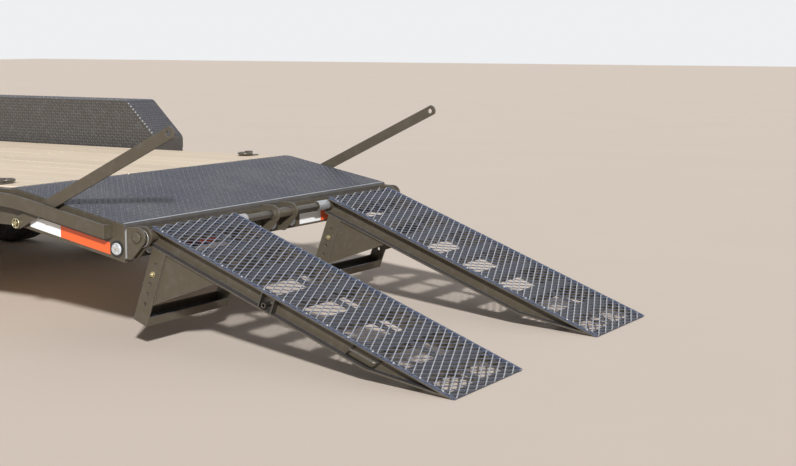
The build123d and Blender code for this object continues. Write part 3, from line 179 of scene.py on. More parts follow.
class Form:
    """Points and faces of one piece, gathered before they become a mesh."""

    def __init__(self):
        self.points = []
        self.faces = []

    def add(self, points, faces):
        start = len(self.points)
        self.points.extend(Vector(point) for point in points)
        self.faces.extend(tuple(start + index for index in face) for face in faces)

    def strip(self, rings, closed_path=False):
        """Skin over rings of equal count, capped at both ends unless the path closes."""
        count = len(rings[0])
        points = [point for ring in rings for point in ring]
        faces = []
        steps = len(rings) if closed_path else len(rings) - 1
        for i in range(steps):
            a, b = i * count, ((i + 1) % len(rings)) * count
            for j in range(count):
                k = (j + 1) % count
                faces.append((a + j, a + k, b + k, b + j))
        if not closed_path:
            faces.append(tuple(reversed(range(count))))
            faces.append(tuple(range((len(rings) - 1) * count, len(rings) * count)))
        self.add(points, faces)

    def lathe(self, origin, axis, profile, count):
        """Turned shape: profile pairs are distance along the axis and radius; six sides make a nut."""
        axis = Vector(axis).normalized()
        side = axis.orthogonal().normalized()
        up = axis.cross(side)
        self.strip([circle(Vector(origin) + axis * along, side, up, radius, count)
                    for along, radius in profile])

    def rod(self, path, radius, sides, closed=False):
        """Round wire along a path of points."""
        path = [Vector(point) for point in path]
        last = len(path) - 1
        rings = []
        normal = None
        for index, point in enumerate(path):
            before = path[index - 1] if index or closed else point
            after = path[(index + 1) % len(path)] if index < last or closed else point
            tangent = (after - before).normalized()
            if normal is None:
                normal = tangent.orthogonal()
            normal = (normal - tangent * normal.dot(tangent)).normalized()
            rings.append(circle(point, normal, tangent.cross(normal), radius, sides))
        self.strip(rings, closed_path=closed)

    def piece(self, name, slot, body, replaces=(), crease=35.0):
        """Mesh object with its finish, riding on a body of the trailer."""
        mesh = bpy.data.meshes.new(name)
        mesh.from_pydata(self.points, [], self.faces)
        work = bmesh.new()
        work.from_mesh(mesh)
        bmesh.ops.recalc_face_normals(work, faces=work.faces)
        work.to_mesh(mesh)
        work.free()
        mesh.shade_smooth()
        mesh.set_sharp_from_angle(angle=math.radians(crease))
        mesh.materials.append(bpy.data.materials[slot])
        piece = bpy.data.objects.new(name, mesh)
        bpy.context.scene.collection.objects.link(piece)
        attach(piece, body)
        if replaces:
            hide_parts(*replaces)
        return piece


class Finish:
    """A material under construction, with short calls for its nodes."""

    def __init__(self, name, roughness, metallic=0.0, coat=0.0):
        packed = bpy.data.materials.get(name)
        if packed:
            packed.name = f"packed_{name}"
        self.material = bpy.data.materials.new(name)
        self.material.use_nodes = True
        self.tree = self.material.node_tree
        self.shader = self.tree.nodes["Principled BSDF"]
        for key, value in (("Roughness", roughness), ("Metallic", metallic), ("Coat Weight", coat)):
            self.feed(self.shader.inputs[key], value)
        self.place = self.node("ShaderNodeTexCoord").outputs["Object"]

    def node(self, kind, inputs=None, **settings):
        """New node; each of its inputs takes a value or the output of another node."""
        made = self.tree.nodes.new(kind)
        for key, value in settings.items():
            setattr(made, key, value)
        for key, value in (inputs or {}).items():
            self.feed(made.inputs[key], value)
        return made

    def feed(self, socket, value):
        if isinstance(value, bpy.types.NodeSocket):
            self.tree.links.new(value, socket)
        else:
            socket.default_value = value

    def noise(self, scale, detail=3.0, roughness=0.5, distortion=0.0, place=None):
        return self.node("ShaderNodeTexNoise", {
            "Vector": place or self.place, "Scale": scale, "Detail": detail,
            "Roughness": roughness, "Distortion": distortion}).outputs["Fac"]

    def ramp(self, value, low, high, start=0.0, end=1.0):
        """A value moved from one range to another and clamped."""
        return self.node("ShaderNodeMapRange", {
            "Value": value, "From Min": low, "From Max": high,
            "To Min": start, "To Max": end}).outputs["Result"]

    def math(self, operation, first, second=0.0):
        return self.node("ShaderNodeMath", {0: first, 1: second}, operation=operation).outputs["Value"]

    def axes(self, vector):
        """The three values of a vector."""
        return self.node("ShaderNodeSeparateXYZ", {"Vector": vector}).outputs

    def cells(self, scale, randomness=1.0, feature="F1", place=None):
        """Distance to the middle of the nearest cell, or to its edge."""
        return self.node("ShaderNodeTexVoronoi", {
            "Vector": place or self.place, "Scale": scale,
            "Randomness": randomness}, feature=feature).outputs["Distance"]

    def mix(self, factor, first, second):
        first, second = (colour if isinstance(colour, bpy.types.NodeSocket) else (*colour, 1.0)
                         for colour in (first, second))
        return self.node("ShaderNodeMix", {"Factor": factor, 6: first, 7: second},
                         data_type="RGBA").outputs[2]

    def edges(self, radius, gain):
        """How near the surface is to a sharp edge, from 0 to 1, and the rounded normal there."""
        rounded = self.node("ShaderNodeBevel", {"Radius": radius}, samples=4).outputs["Normal"]
        flat = self.node("ShaderNodeNewGeometry").outputs["Normal"]
        alike = self.node("ShaderNodeVectorMath", {0: rounded, 1: flat}, operation="DOT_PRODUCT")
        turned = self.math("SUBTRACT", 1.0, alike.outputs["Value"])
        return self.ramp(turned, 0.0, 1.0 / gain), rounded

    def colour(self, value):
        self.feed(self.shader.inputs["Base Color"], value)

    def rough(self, value):
        self.feed(self.shader.inputs["Roughness"], value)

    def bump(self, height, strength, distance, normal=None):
        inputs = {"Height": height, "Strength": strength, "Distance": distance}
        if normal is not None:
            inputs["Normal"] = normal
        self.feed(self.shader.inputs["Normal"], self.node("ShaderNodeBump", inputs).outputs["Normal"])


def scaled(colour, factor):
    return tuple(min(1.0, channel * factor) for channel in colour)


def powder_coat(name, colour, wear_and_highlight, sky_tint, roughness=0.36, edge=0.0022, gain=3.0, wear_and_glint=0.35,
                sky_tint_share=0.5, driven_and_highlit=0.0):
    """Satin powder coat with light dust specks: upward faces take a painted reflection of the sky, and
    edges and the faces tyres run on turn lighter, partly from scuffing and partly as painted highlights.
    """
    finish = Finish(name, roughness)
    cloud = finish.noise(3.5, 4.0)
    base = finish.mix(cloud, scaled(colour, 0.93), scaled(colour, 1.07))
    dust = finish.ramp(finish.noise(26.0, 6.0, 0.65), 0.5, 0.8, 0.0, 0.06)
    base = finish.mix(dust, base, wear_and_highlight)
    # Painted sky reflection: faces that point up are tinted towards the sky colour.
    upward = finish.axes(finish.node("ShaderNodeNewGeometry").outputs["Normal"])["Z"]
    sky_facing = finish.ramp(upward, 0.45, 0.95, 0.0, sky_tint_share)
    sky_facing = finish.math("MULTIPLY", sky_facing, finish.ramp(cloud, 0.25, 0.7, 0.75, 1.0))
    base = finish.mix(sky_facing, base, sky_tint)
    # Edges lighter from scuffing; on the treadplate and the treads the stronger edge colour is also a
    # painted highlight on lug crowns and strand crests.
    near_edge, rounded = finish.edges(edge, gain)
    patchy = finish.ramp(finish.noise(60.0, 3.0), 0.35, 0.7, 0.3, 1.0)
    rubbed_and_highlit = finish.math("MULTIPLY", finish.math("MULTIPLY", near_edge, patchy), wear_and_glint)
    # Faces that point steeply up turn lighter: partly tyre scuffing, partly a painted highlight on the
    # strand crests that face the light.
    if driven_and_highlit:
        facing = finish.axes(finish.node("ShaderNodeTexCoord").outputs["Normal"])["Z"]
        trodden_and_highlit = finish.ramp(facing, 0.945, 0.97, 0.0, driven_and_highlit)
        rubbed_and_highlit = finish.math("MAXIMUM", rubbed_and_highlit, trodden_and_highlit)
    finish.colour(finish.mix(rubbed_and_highlit, base, wear_and_highlight))
    finish.rough(finish.ramp(cloud, 0.3, 0.7, roughness - 0.05, roughness + 0.08))
    finish.bump(finish.noise(900.0, 2.0), 0.10, 0.0004, rounded)
    return finish.material


def painted_gear(name, colour):
    """Brushed-on black paint with road dust in patches."""
    finish = Finish(name, 0.5)
    dust = finish.ramp(finish.noise(14.0, 6.0, 0.7), 0.45, 0.8, 0.0, 0.45)
    finish.colour(finish.mix(dust, colour, GEAR_DUST))
    finish.rough(finish.ramp(finish.noise(40.0), 0.3, 0.7, 0.42, 0.62))
    _, rounded = finish.edges(0.002, 3.0)
    finish.bump(finish.noise(300.0, 3.0), 0.15, 0.0006, rounded)
    return finish.material


def plated_steel(name, colour, roughness, tint):
    """Plated or bare steel, clouded and faintly drawn."""
    finish = Finish(name, roughness, metallic=1.0)
    finish.colour(finish.mix(finish.noise(45.0, 4.0), scaled(colour, 0.8), tint))
    finish.rough(finish.ramp(finish.noise(120.0, 3.0), 0.3, 0.7, roughness - 0.08, roughness + 0.12))
    _, rounded = finish.edges(0.0015, 3.0)
    finish.bump(finish.noise(500.0, 2.0), 0.08, 0.0003, rounded)
    return finish.material


def pine(name, colour, late, sizes):
    """Lengthwise pine boards: each its own tone, with long grain, fine pores and a few knots."""
    finish = Finish(name, 0.62)
    low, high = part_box("deck_planks")
    pitch = (high.y - low.y + sizes.plank_gap) / sizes.plank_count
    across = finish.math("SUBTRACT", finish.axes(finish.place)["Y"], low.y)
    board = finish.math("FLOOR", finish.math("DIVIDE", across, pitch))
    chance = finish.node("ShaderNodeTexWhiteNoise", {"W": board}, noise_dimensions="1D")
    shifted = finish.node("ShaderNodeVectorMath", {
        0: chance.outputs["Color"], 1: (7.0, 5.0, 3.0), 2: finish.place},
        operation="MULTIPLY_ADD").outputs["Vector"]
    grain_place = finish.node("ShaderNodeMapping", {
        "Vector": shifted, "Scale": (0.55, 14.0, 14.0)}).outputs["Vector"]
    rings = finish.node("ShaderNodeTexWave", {
        "Vector": grain_place, "Scale": 1.4, "Distortion": 5.0, "Detail": 3.0, "Detail Scale": 1.2},
        wave_type="RINGS", rings_direction="X", wave_profile="SAW")
    streak = finish.noise(6.0, 6.0, 0.65, 0.4, grain_place)
    knot = finish.ramp(finish.cells(1.6, place=shifted), 0.02, 0.035, 1.0, 0.0)
    grain = finish.math("ADD", finish.math("MULTIPLY", rings.outputs["Fac"], 0.45),
                        finish.math("MULTIPLY", streak, 0.5))
    tone = finish.mix(chance.outputs["Value"], scaled(colour, 0.93), scaled(colour, 1.05))
    wood = finish.mix(finish.ramp(grain, 0.35, 0.9, 0.0, 0.8), tone, late)
    blotch = finish.ramp(finish.noise(2.2, 5.0, 0.6), 0.4, 0.75, 0.0, 0.22)
    wood = finish.mix(blotch, wood, scaled(colour, 0.80))
    finish.colour(finish.mix(finish.math("MULTIPLY", knot, 0.75), wood, scaled(late, 0.42)))
    finish.rough(finish.ramp(grain, 0.2, 0.9, 0.72, 0.5))
    pores = finish.noise(180.0, 3.0, 0.5, 0.0, grain_place)
    finish.bump(finish.math("ADD", grain, pores), 0.14, 0.0009)
    return finish.material


def tyre_rubber(name, colour):
    """Matt rubber, dusty in patches, with faint mould texture."""
    finish = Finish(name, 0.72)
    dust = finish.ramp(finish.noise(9.0, 6.0, 0.7), 0.42, 0.8, 0.0, 0.4)
    finish.colour(finish.mix(dust, colour, TYRE_DUST))
    finish.rough(finish.ramp(finish.noise(30.0), 0.3, 0.7, 0.62, 0.85))
    finish.bump(finish.noise(420.0, 4.0, 0.6), 0.25, 0.0008)
    return finish.material


def rim_paint(name, colour):
    """Silver wheel paint with brake dust in patches."""
    finish = Finish(name, 0.34, metallic=0.55, coat=0.4)
    dust = finish.ramp(finish.noise(22.0, 5.0, 0.65), 0.45, 0.85, 0.0, 0.45)
    finish.colour(finish.mix(dust, colour, BRAKE_DUST))
    _, rounded = finish.edges(0.002, 3.0)
    finish.bump(finish.noise(1200.0, 2.0), 0.06, 0.0003, rounded)
    return finish.material


def grommet_rubber(name):
    finish = Finish(name, 0.58)
    finish.colour(finish.mix(finish.noise(80.0, 4.0), (0.012, 0.012, 0.012), (0.03, 0.03, 0.03)))
    finish.bump(finish.noise(700.0, 2.0), 0.12, 0.0004)
    return finish.material


def lens_plastic(name, colour, cell):
    """Lamp lens: glossy skin over rows of small prisms."""
    finish = Finish(name, 0.08, coat=1.0)
    depth = finish.ramp(finish.cells(1.0 / cell, 0.0), 0.0, 0.7)
    # Each prism lighter in its middle and darker towards its rim: painted shade of the facets.
    finish.colour(finish.mix(depth, scaled(colour, 1.1), scaled(colour, 0.55)))
    finish.bump(depth, 0.5, 0.0012)
    return finish.material


def reflective_tape(name, colour, cell):
    """Prismatic tape: small cells under a glossy film, a little dirty."""
    finish = Finish(name, 0.3, coat=0.6)
    line = finish.ramp(finish.cells(1.0 / cell, 0.15, "DISTANCE_TO_EDGE"), 0.0, 0.12)
    face = finish.mix(line, scaled(colour, 0.88), colour)
    dirt = finish.ramp(finish.noise(18.0, 5.0, 0.7), 0.55, 0.9, 0.0, 0.2)
    finish.colour(finish.mix(dirt, face, scaled(colour, 0.5)))
    finish.bump(line, 0.12, 0.0003)
    return finish.material


def make_finishes(colours, sizes):
    wear_and_highlight, sky_tint = colours.edge_wear_and_highlight, colours.upward_sky_reflection
    powder_coat("frame_paint", colours.frame_coat, wear_and_highlight, sky_tint)
    powder_coat("ramp_paint", colours.frame_coat, wear_and_highlight, sky_tint, wear_and_glint=0.45)
    # Treadplate: lug crowns made lighter, partly scuffing and partly painted glints; a strong painted sky
    # reflection on upward faces.
    powder_coat("treadplate_paint", colours.plate_coat, wear_and_highlight, sky_tint, roughness=0.50, edge=0.0026,
                gain=12.0, wear_and_glint=0.42, sky_tint_share=0.8)
    # Expanded metal: bright crests and faces that point steeply up are partly painted highlights.
    powder_coat("mesh_paint", colours.mesh_coat_sky_tinted, wear_and_highlight, sky_tint, roughness=0.34, edge=0.0013,
                gain=9.0, wear_and_glint=0.5, sky_tint_share=0.3, driven_and_highlit=0.8)
    painted_gear("black_paint", colours.black_coat)
    plated_steel("zinc", colours.zinc, 0.32, scaled(colours.zinc, 1.15))
    plated_steel("bare_steel", colours.steel, 0.42, scaled(colours.steel, 1.25))
    pine("deck_wood", colours.wood, colours.wood_late, sizes)
    tyre_rubber("tyre_rubber", colours.rubber)
    rim_paint("wheel_paint", colours.rim)
    grommet_rubber("grommet_rubber")
    lens_plastic("clear_lens", colours.clear_lens, 0.006)
    lens_plastic("red_lens", colours.red_lens, 0.008)
    reflective_tape("red_tape", colours.red_tape, 0.0042)
    reflective_tape("white_tape", colours.white_tape, 0.0042)


def ramp_axes(side):
    """Top edge of a lowered ramp, its directions down the slope and out of it, and its tread's extent."""
    low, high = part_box(f"ramp_mesh_{side}")
    width, height = high.x - low.x, high.z - low.z
    slope = math.atan2(height, width)
    rounds = 6
    for _ in range(rounds):
        slope = math.atan2(height - TREAD_DEPTH * math.cos(slope), width - TREAD_DEPTH * math.sin(slope))
    down = Vector((-math.cos(slope), 0, -math.sin(slope)))
    out = Vector((-math.sin(slope), 0, math.cos(slope)))
    overhang = TREAD_DEPTH * math.sin(slope)
    top = Vector((high.x - overhang, 0, high.z))
    length = (width - overhang) / math.cos(slope)
    return top, down, out, length, low.y, high.y


def zigzag(y, phase, pitch, bond):
    """Height of a strand between its two bonds, from -1 to 1, flat at each bond."""
    place = ((y / pitch + phase) % 1.0) * pitch
    quarter = abs(place - pitch / 2)
    slope = (quarter - bond / 2) / (pitch / 2 - bond)
    return 2 * min(1.0, max(0.0, slope)) - 1


class TRAILER_OT_ramp_treads(Operator):
    """Expanded-metal treads of both ramps, one zigzag strand after another"""

    bl_idname = "trailer.ramp_treads"
    bl_label = "Ramp treads"

    def execute(self, context):
        sizes = context.scene.trailer_sizes
        for side in SIDES:
            self.tread(side, sizes)
        return {"FINISHED"}

    def tread(self, side, sizes):
        top, down, out, length, y_low, y_high = ramp_axes(side)
        across = Vector((0, 1, 0))
        rows = 2 * round(length / sizes.cell_short)
        step = length / rows
        tilt = sizes.strand_tilt
        broad = (down * math.cos(tilt) + out * math.sin(tilt)) * sizes.strand_width / 2
        thick = (out * math.cos(tilt) - down * math.sin(tilt)) * sizes.strand_thickness / 2
        swing = down * (step / 2) - broad
        middle = (y_low + y_high) / 2
        stations = self.stations(y_low, y_high, middle, sizes)
        depth = 2 * abs(broad.dot(out)) + abs(thick.dot(out))
        form = Form()
        for row in range(rows):
            phase = 0.5 * (row % 2)
            rings = []
            for y in stations:
                lift = zigzag(y - middle, phase, sizes.cell_long, 2 * sizes.bond)
                centre = top + down * ((row + 0.5) * step) + swing * lift - out * depth + across * y
                rings.append([centre + broad + thick, centre + broad - thick,
                              centre - broad - thick, centre - broad + thick])
            form.strip(rings)
        lip, sheet = sizes.tread_border, out * TREAD_DEPTH
        for y0, y1 in ((y_low, y_low + lip), (y_high - lip, y_high)):
            near, far = across * y0, across * y1
            form.strip([[end + near, end + far, end + far - sheet, end + near - sheet]
                        for end in (top, top + down * length)])
        form.piece(f"expanded_metal_{side}", "mesh_paint", f"ramp_{side}", [f"ramp_mesh_{side}"])
        self.tacks(side)

    def tacks(self, side):
        """Small welds, unevenly spaced, that hold the tread to the channels on each side."""
        top, down, _, length, y_low, y_high = ramp_axes(side)
        count = 14
        form = Form()
        for index in range(count):
            share = (index + 0.5 + 0.25 * noise.noise(Vector((index * 1.7, 0, 0)))) / count
            place = top + down * (length * share)
            for y, way in ((y_low, -1), (y_high, 1)):
                form.lathe(place + Vector((0, y, 0)), (0, way, 0.35),
                           [(-0.003, 0.0044), (0.0005, 0.0038), (0.0018, 0.0018)], 10)
        form.piece(f"tread_tacks_{side}", "wheel_paint", f"ramp_{side}")

    def stations(self, y_low, y_high, middle, sizes):
        """Places across the ramp where a strand bends, the same for every row."""
        half = sizes.cell_long / 2
        places = {y_low, y_high}
        count = int((y_high - y_low) / half) + 2
        for index in range(-count, count + 1):
            for offset in (-sizes.bond, sizes.bond):
                y = middle + index * half + offset
                if y_low < y < y_high:
                    places.add(y)
        return sorted(places)


def lug(form, centre, long_way, normal, sizes):
    """One raised lug of the treadplate: a long lens with a flat crown."""
    along = Vector(long_way).normalized()
    normal = Vector(normal).normalized()
    side = normal.cross(along)
    half_length, half_width, height = sizes.lug_length / 2, sizes.lug_width / 2, sizes.lug_height
    sunk = 0.0002
    foot = [(1, 0), (0.45, 1), (-0.45, 1), (-1, 0), (-0.45, -1), (0.45, -1)]
    crown = [(0.5, 0.35), (-0.5, 0.35), (-0.5, -0.35), (0.5, -0.35)]
    points = [centre + along * u * half_length + side * v * half_width - normal * sunk for u, v in foot]
    points += [centre + along * u * half_length + side * v * half_width + normal * height for u, v in crown]
    faces = [(1, 2, 7, 6), (4, 5, 9, 8), (6, 7, 8, 9), (0, 1, 6), (0, 6, 9), (0, 9, 5),
             (3, 7, 2), (3, 8, 7), (3, 4, 8), (5, 4, 3, 2, 1, 0)]
    form.add(points, faces)


def lug_field(form, origin, u, v, size_u, size_v, sizes, inside=None):
    """Lugs on a flat face, turned one way and the other in turn."""
    u, v = Vector(u), Vector(v)
    normal = u.cross(v)
    pitch = sizes.lug_pitch
    count_u, count_v = int(size_u / pitch), int(size_v / pitch)
    start_u, start_v = (size_u - (count_u - 1) * pitch) / 2, (size_v - (count_v - 1) * pitch) / 2
    for i in range(count_u):
        for j in range(count_v):
            a, b = start_u + i * pitch, start_v + j * pitch
            if inside and not inside(a, b):
                continue
            turn = 1 if (i + j) % 2 else -1
            lug(form, Vector(origin) + u * a + v * b, u + v * turn, normal, sizes)


class TRAILER_OT_treadplate(Operator):
    """Raised lugs on the tail plate and on every face of the fenders"""

    bl_idname = "trailer.treadplate"
    bl_label = "Treadplate lugs"

    def execute(self, context):
        sizes = context.scene.trailer_sizes
        self.tail(sizes)
        for side, sign in SIDES.items():
            self.fender(side, sign, sizes)
        return {"FINISHED"}

    def tail(self, sizes):
        low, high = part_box("tail_plate")
        knee = high.x - TAIL_KNEE
        run = knee - low.x
        length = math.hypot(run, TAIL_RISE)
        uphill = Vector((run, 0, TAIL_RISE)) / length
        width = high.y - low.y
        rolled = 0.018
        form = Form()
        start = Vector((low.x, low.y, high.z - TAIL_RISE)) + uphill * rolled
        lug_field(form, start, uphill, (0, 1, 0), length - rolled, width, sizes)
        lug_field(form, (knee, low.y, high.z), (1, 0, 0), (0, 1, 0), TAIL_KNEE, width, sizes)
        form.piece("tail_plate_lugs", "treadplate_paint", "chassis")
        self.nose_highlight(low, high.z - TAIL_RISE, uphill)

    def nose_highlight(self, low, crest, uphill):
        """Painted highlight: a bright strip along the rolled rear edge of the tail, where the curve would
        reflect the sky.
        """
        rise = uphill.z / uphill.x
        inset = 0.004
        section = ((0.007, 0.0004), (0.013, 0.0006), (0.013, -0.0004), (0.007, -0.0012))
        form = Form()
        form.strip([[Vector((low.x + run, y, crest + run * rise + lift)) for run, lift in section]
                    for y in (-low.y - inset, low.y + inset)])
        form.piece("tail_nose_highlight", "wheel_paint", "chassis")

    def fender(self, side, sign, sizes):
        low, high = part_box(f"fender_{side}")
        inner, outer = (low.y, high.y) if sign > 0 else (high.y, low.y)
        shoulder, run = FENDER_SHOULDER, FENDER_RUN
        top, bottom = high.z, low.z
        length, height = high.x - low.x, top - bottom
        form = Form()

        def under_arch(a, b):
            """Whether a lug fits on a side face that is this far along and this high up."""
            edge = sizes.lug_length / 2
            near = min(a, length - a)
            ceiling = height - max(0.0, (run - near) * shoulder / run)
            return b < ceiling - edge and near > edge and b > edge * 0.7

        for y, away in ((inner, -sign), (outer, sign)):
            start = (low.x, y, bottom) if away < 0 else (high.x, y, bottom)
            along = (1, 0, 0) if away < 0 else (-1, 0, 0)
            lug_field(form, start, along, (0, 0, 1), length, height, sizes, under_arch)
        width = high.y - low.y
        slope_length = math.hypot(run, shoulder)
        bend = 0.016
        across, rise = run / slope_length, shoulder / slope_length
        flats = [  # start corner, direction along the arch, length
            ((low.x + run, top), (1, 0), length - 2 * run),
            ((low.x, top - shoulder), (across, rise), slope_length),
            ((high.x - run, top), (across, -rise), slope_length),
        ]
        for (x, z), (dx, dz), flat in flats:
            start = Vector((x + dx * bend, low.y, z + dz * bend))
            lug_field(form, start, (dx, 0, dz), (0, 1, 0), flat - 2 * bend, width, sizes)
        form.piece(f"fender_{side}_lugs", "treadplate_paint", "chassis")


def islands(node):
    """Boxes of the separate solids in one node."""
    work = bmesh.new()
    work.from_mesh(frame["nodes"][node].data)
    bmesh.ops.remove_doubles(work, verts=work.verts, dist=1e-5)
    left = set(work.verts)
    boxes = []
    while left:
        grown, points = [left.pop()], []
        while grown:
            vert = grown.pop()
            points.append(tuple(vert.co))
            near = {edge.other_vert(vert) for edge in vert.link_edges} & left
            left -= near
            grown.extend(near)
        boxes.append((tuple(map(min, *points)), tuple(map(max, *points))))
    work.free()
    return [(Vector(low), Vector(high)) for low, high in sorted(boxes)]


class TRAILER_OT_lamps(Operator):
    """Rings, ribs and the bright middle seen through the round lamp lenses"""

    bl_idname = "trailer.lamps"
    bl_label = "Lamp lenses"

    def execute(self, context):
        ribs, middles = Form(), Form()
        for low, high in islands("marker_lenses"):
            self.lens(ribs, middles, low, high)
        ribs.piece("lens_ribs", "wheel_paint", "chassis")
        middles.piece("lens_middles", "zinc", "chassis")
        return {"FINISHED"}

    def lens(self, ribs, middles, low, high):
        centre, size = (low + high) / 2, high - low
        faces_side = size.y < size.x
        out = Vector((0, math.copysign(1, centre.y), 0)) if faces_side else Vector((-1, 0, 0))
        radius = size.z / 2
        front = centre + out * (size.y if faces_side else size.x) / 2
        sunk, proud = -0.0005, 0.0006
        for share in (0.40, 0.78):
            ribs.lathe(front, out, [(sunk, radius * share), (proud, radius * (share + 0.02)),
                                    (proud, radius * (share + 0.07)), (sunk, radius * (share + 0.09))], 32)
        up = Vector((0, 0, 1))
        side = out.cross(up)
        rays = 8
        for step in range(rays):
            angle = math.tau * (step + 0.5) / rays
            ray = side * math.cos(angle) + up * math.sin(angle)
            ribs.rod([front + ray * radius * 0.46, front + ray * radius * 0.80], 0.0008, 6)
        middles.lathe(front, out, [(sunk, radius * 0.22), (0.0005, radius * 0.20), (0.0012, radius * 0.10)],
                      20)


class TRAILER_OT_deck(Operator):
    """Rounded planks and the screws that hold them to the cross members"""

    bl_idname = "trailer.deck"
    bl_label = "Deck planks"

    def execute(self, context):
        sizes = context.scene.trailer_sizes
        low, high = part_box("deck_planks")
        count, gap = sizes.plank_count, sizes.plank_gap
        width = (high.y - low.y - (count - 1) * gap) / count
        form = Form()
        screws = Form()
        rows = self.screw_rows(sizes.cross_count)
        for index in range(count):
            y0 = low.y + index * (width + gap)
            self.plank(form, low, high, y0, width, index, sizes.plank_edge)
            for x in rows:
                for share in (0.22, 0.78):
                    self.screw(screws, (x, y0 + width * share, high.z))
        form.piece("planks", "deck_wood", "chassis", ["deck_planks"], crease=12.0)
        screws.piece("deck_screws", "zinc", "chassis")
        return {"FINISHED"}

    def screw_rows(self, count):
        """Middles of the cross members' flanges."""
        low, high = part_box("cross_members")
        pitch = (high.x - low.x - CROSS_FLANGE) / (count - 1)
        return [low.x + CROSS_FLANGE / 2 + index * pitch for index in range(count)]

    def plank(self, form, low, high, y0, width, index, edge):
        """Board with rounded long edges that cups and wanders by less than a millimetre."""
        segments, slack, corner = 40, 0.0006, edge * 0.3
        rings = []
        for step in range(segments + 1):
            x = low.x + (high.x - low.x) * step / segments
            lift = 0.0005 * noise.noise(Vector((x * 1.7, index * 3.1, 0)))
            sway = 0.0008 * noise.noise(Vector((x * 0.9, index * 5.3, 4)))
            top, bottom = high.z - slack + lift, low.z
            left, right = y0 + sway, y0 + width + sway
            ring = [(left, bottom), (right, bottom), (right, top - edge), (right - corner, top - corner),
                    (right - edge, top), (left + edge, top), (left + corner, top - corner),
                    (left, top - edge)]
            rings.append([Vector((x, y, z)) for y, z in ring])
        form.strip(rings)

    def screw(self, form, place):
        """Flat head, a little proud of the board, with a hollow for its drive."""
        form.lathe(place, (0, 0, 1), [(-0.004, 0.0035), (-0.0012, 0.0062), (0.0004, 0.0064),
                                      (0.0008, 0.0052), (0.0008, 0.0024), (-0.0006, 0.0020)], 10)


class TRAILER_OT_tyres(Operator):
    """Tyres with a grooved tread, shoulder lugs and sidewall rings"""

    bl_idname = "trailer.tyres"
    bl_label = "Tyres"

    def execute(self, context):
        sizes = context.scene.trailer_sizes
        for axle in AXLES:
            for side in SIDES:
                self.tyre(axle, side, sizes)
        return {"FINISHED"}

    def profile(self, radius, half, bead_radius, groove):
        """Section from bead to bead: distance across, radius, and how deep a shoulder cut goes there."""
        near_bead = ((0.040, 0, 0), (0.029, 0.006, 0), (0.021, 0.020, 0), (0.009, 0.042, 0),
                     (0.0055, 0.044, 0), (0.0045, 0.052, 0), (0.0065, 0.054, 0))
        near_tread = ((0.002, 0.075, 0), (0.004, 0.050, 0), (0.0025, 0.048, 0), (0.003, 0.040, 0.4),
                      (0.007, 0.028, 0.8), (0.012, 0.015, 1), (0.020, 0.006, 1), (0.030, 0.0035, 1))
        sidewall = [(half - inward, bead_radius + rise, cut) for inward, rise, cut in near_bead]
        sidewall += [(half - inward, radius - drop, cut) for inward, drop, cut in near_tread]
        tread = []
        edge = half - 0.034
        for centre in (edge, edge * 0.36):
            tread += [(centre, radius - 0.002, 0), (centre - 0.002, radius - groove, 0),
                      (centre - 0.008, radius - groove, 0), (centre - 0.010, radius - 0.0012, 0)]
        tread.append((0.006, radius - 0.0003, 0))
        half_section = sidewall + tread
        mirrored = [(-across, r, cut) for across, r, cut in reversed(half_section)]
        return half_section + mirrored

    def tyre(self, axle, side, sizes):
        node = f"tyre_{axle}_{side}"
        low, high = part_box(node)
        centre = (low + high) / 2
        radius, half = (high.x - low.x) / 2, (high.y - low.y) / 2
        section = self.profile(radius, half, WHEEL_SEAT, sizes.groove_depth)
        section += [(-half + 0.040, WHEEL_SEAT, 0), (-half + 0.030, 0.215, 0), (-half + 0.014, 0.27, 0),
                    (half - 0.014, 0.27, 0), (half - 0.030, 0.215, 0)]
        per_lug = 4
        cut_depth = sizes.groove_depth * 0.85
        count = per_lug * sizes.tread_lugs
        rings = []
        for step in range(count):
            angle = math.tau * step / count
            spoke = Vector((math.cos(angle), 0, math.sin(angle)))
            cut = step % per_lug == 0
            ring = []
            for across, r, share in section:
                depth = cut_depth * share if cut else 0.0
                ring.append(centre + spoke * (r - depth) + Vector((0, across, 0)))
            rings.append(ring)
        form = Form()
        form.strip(rings, closed_path=True)
        form.piece(f"road_{node}", "tyre_rubber", f"wheel_set_{axle}_{side}", [node], crease=28.0)


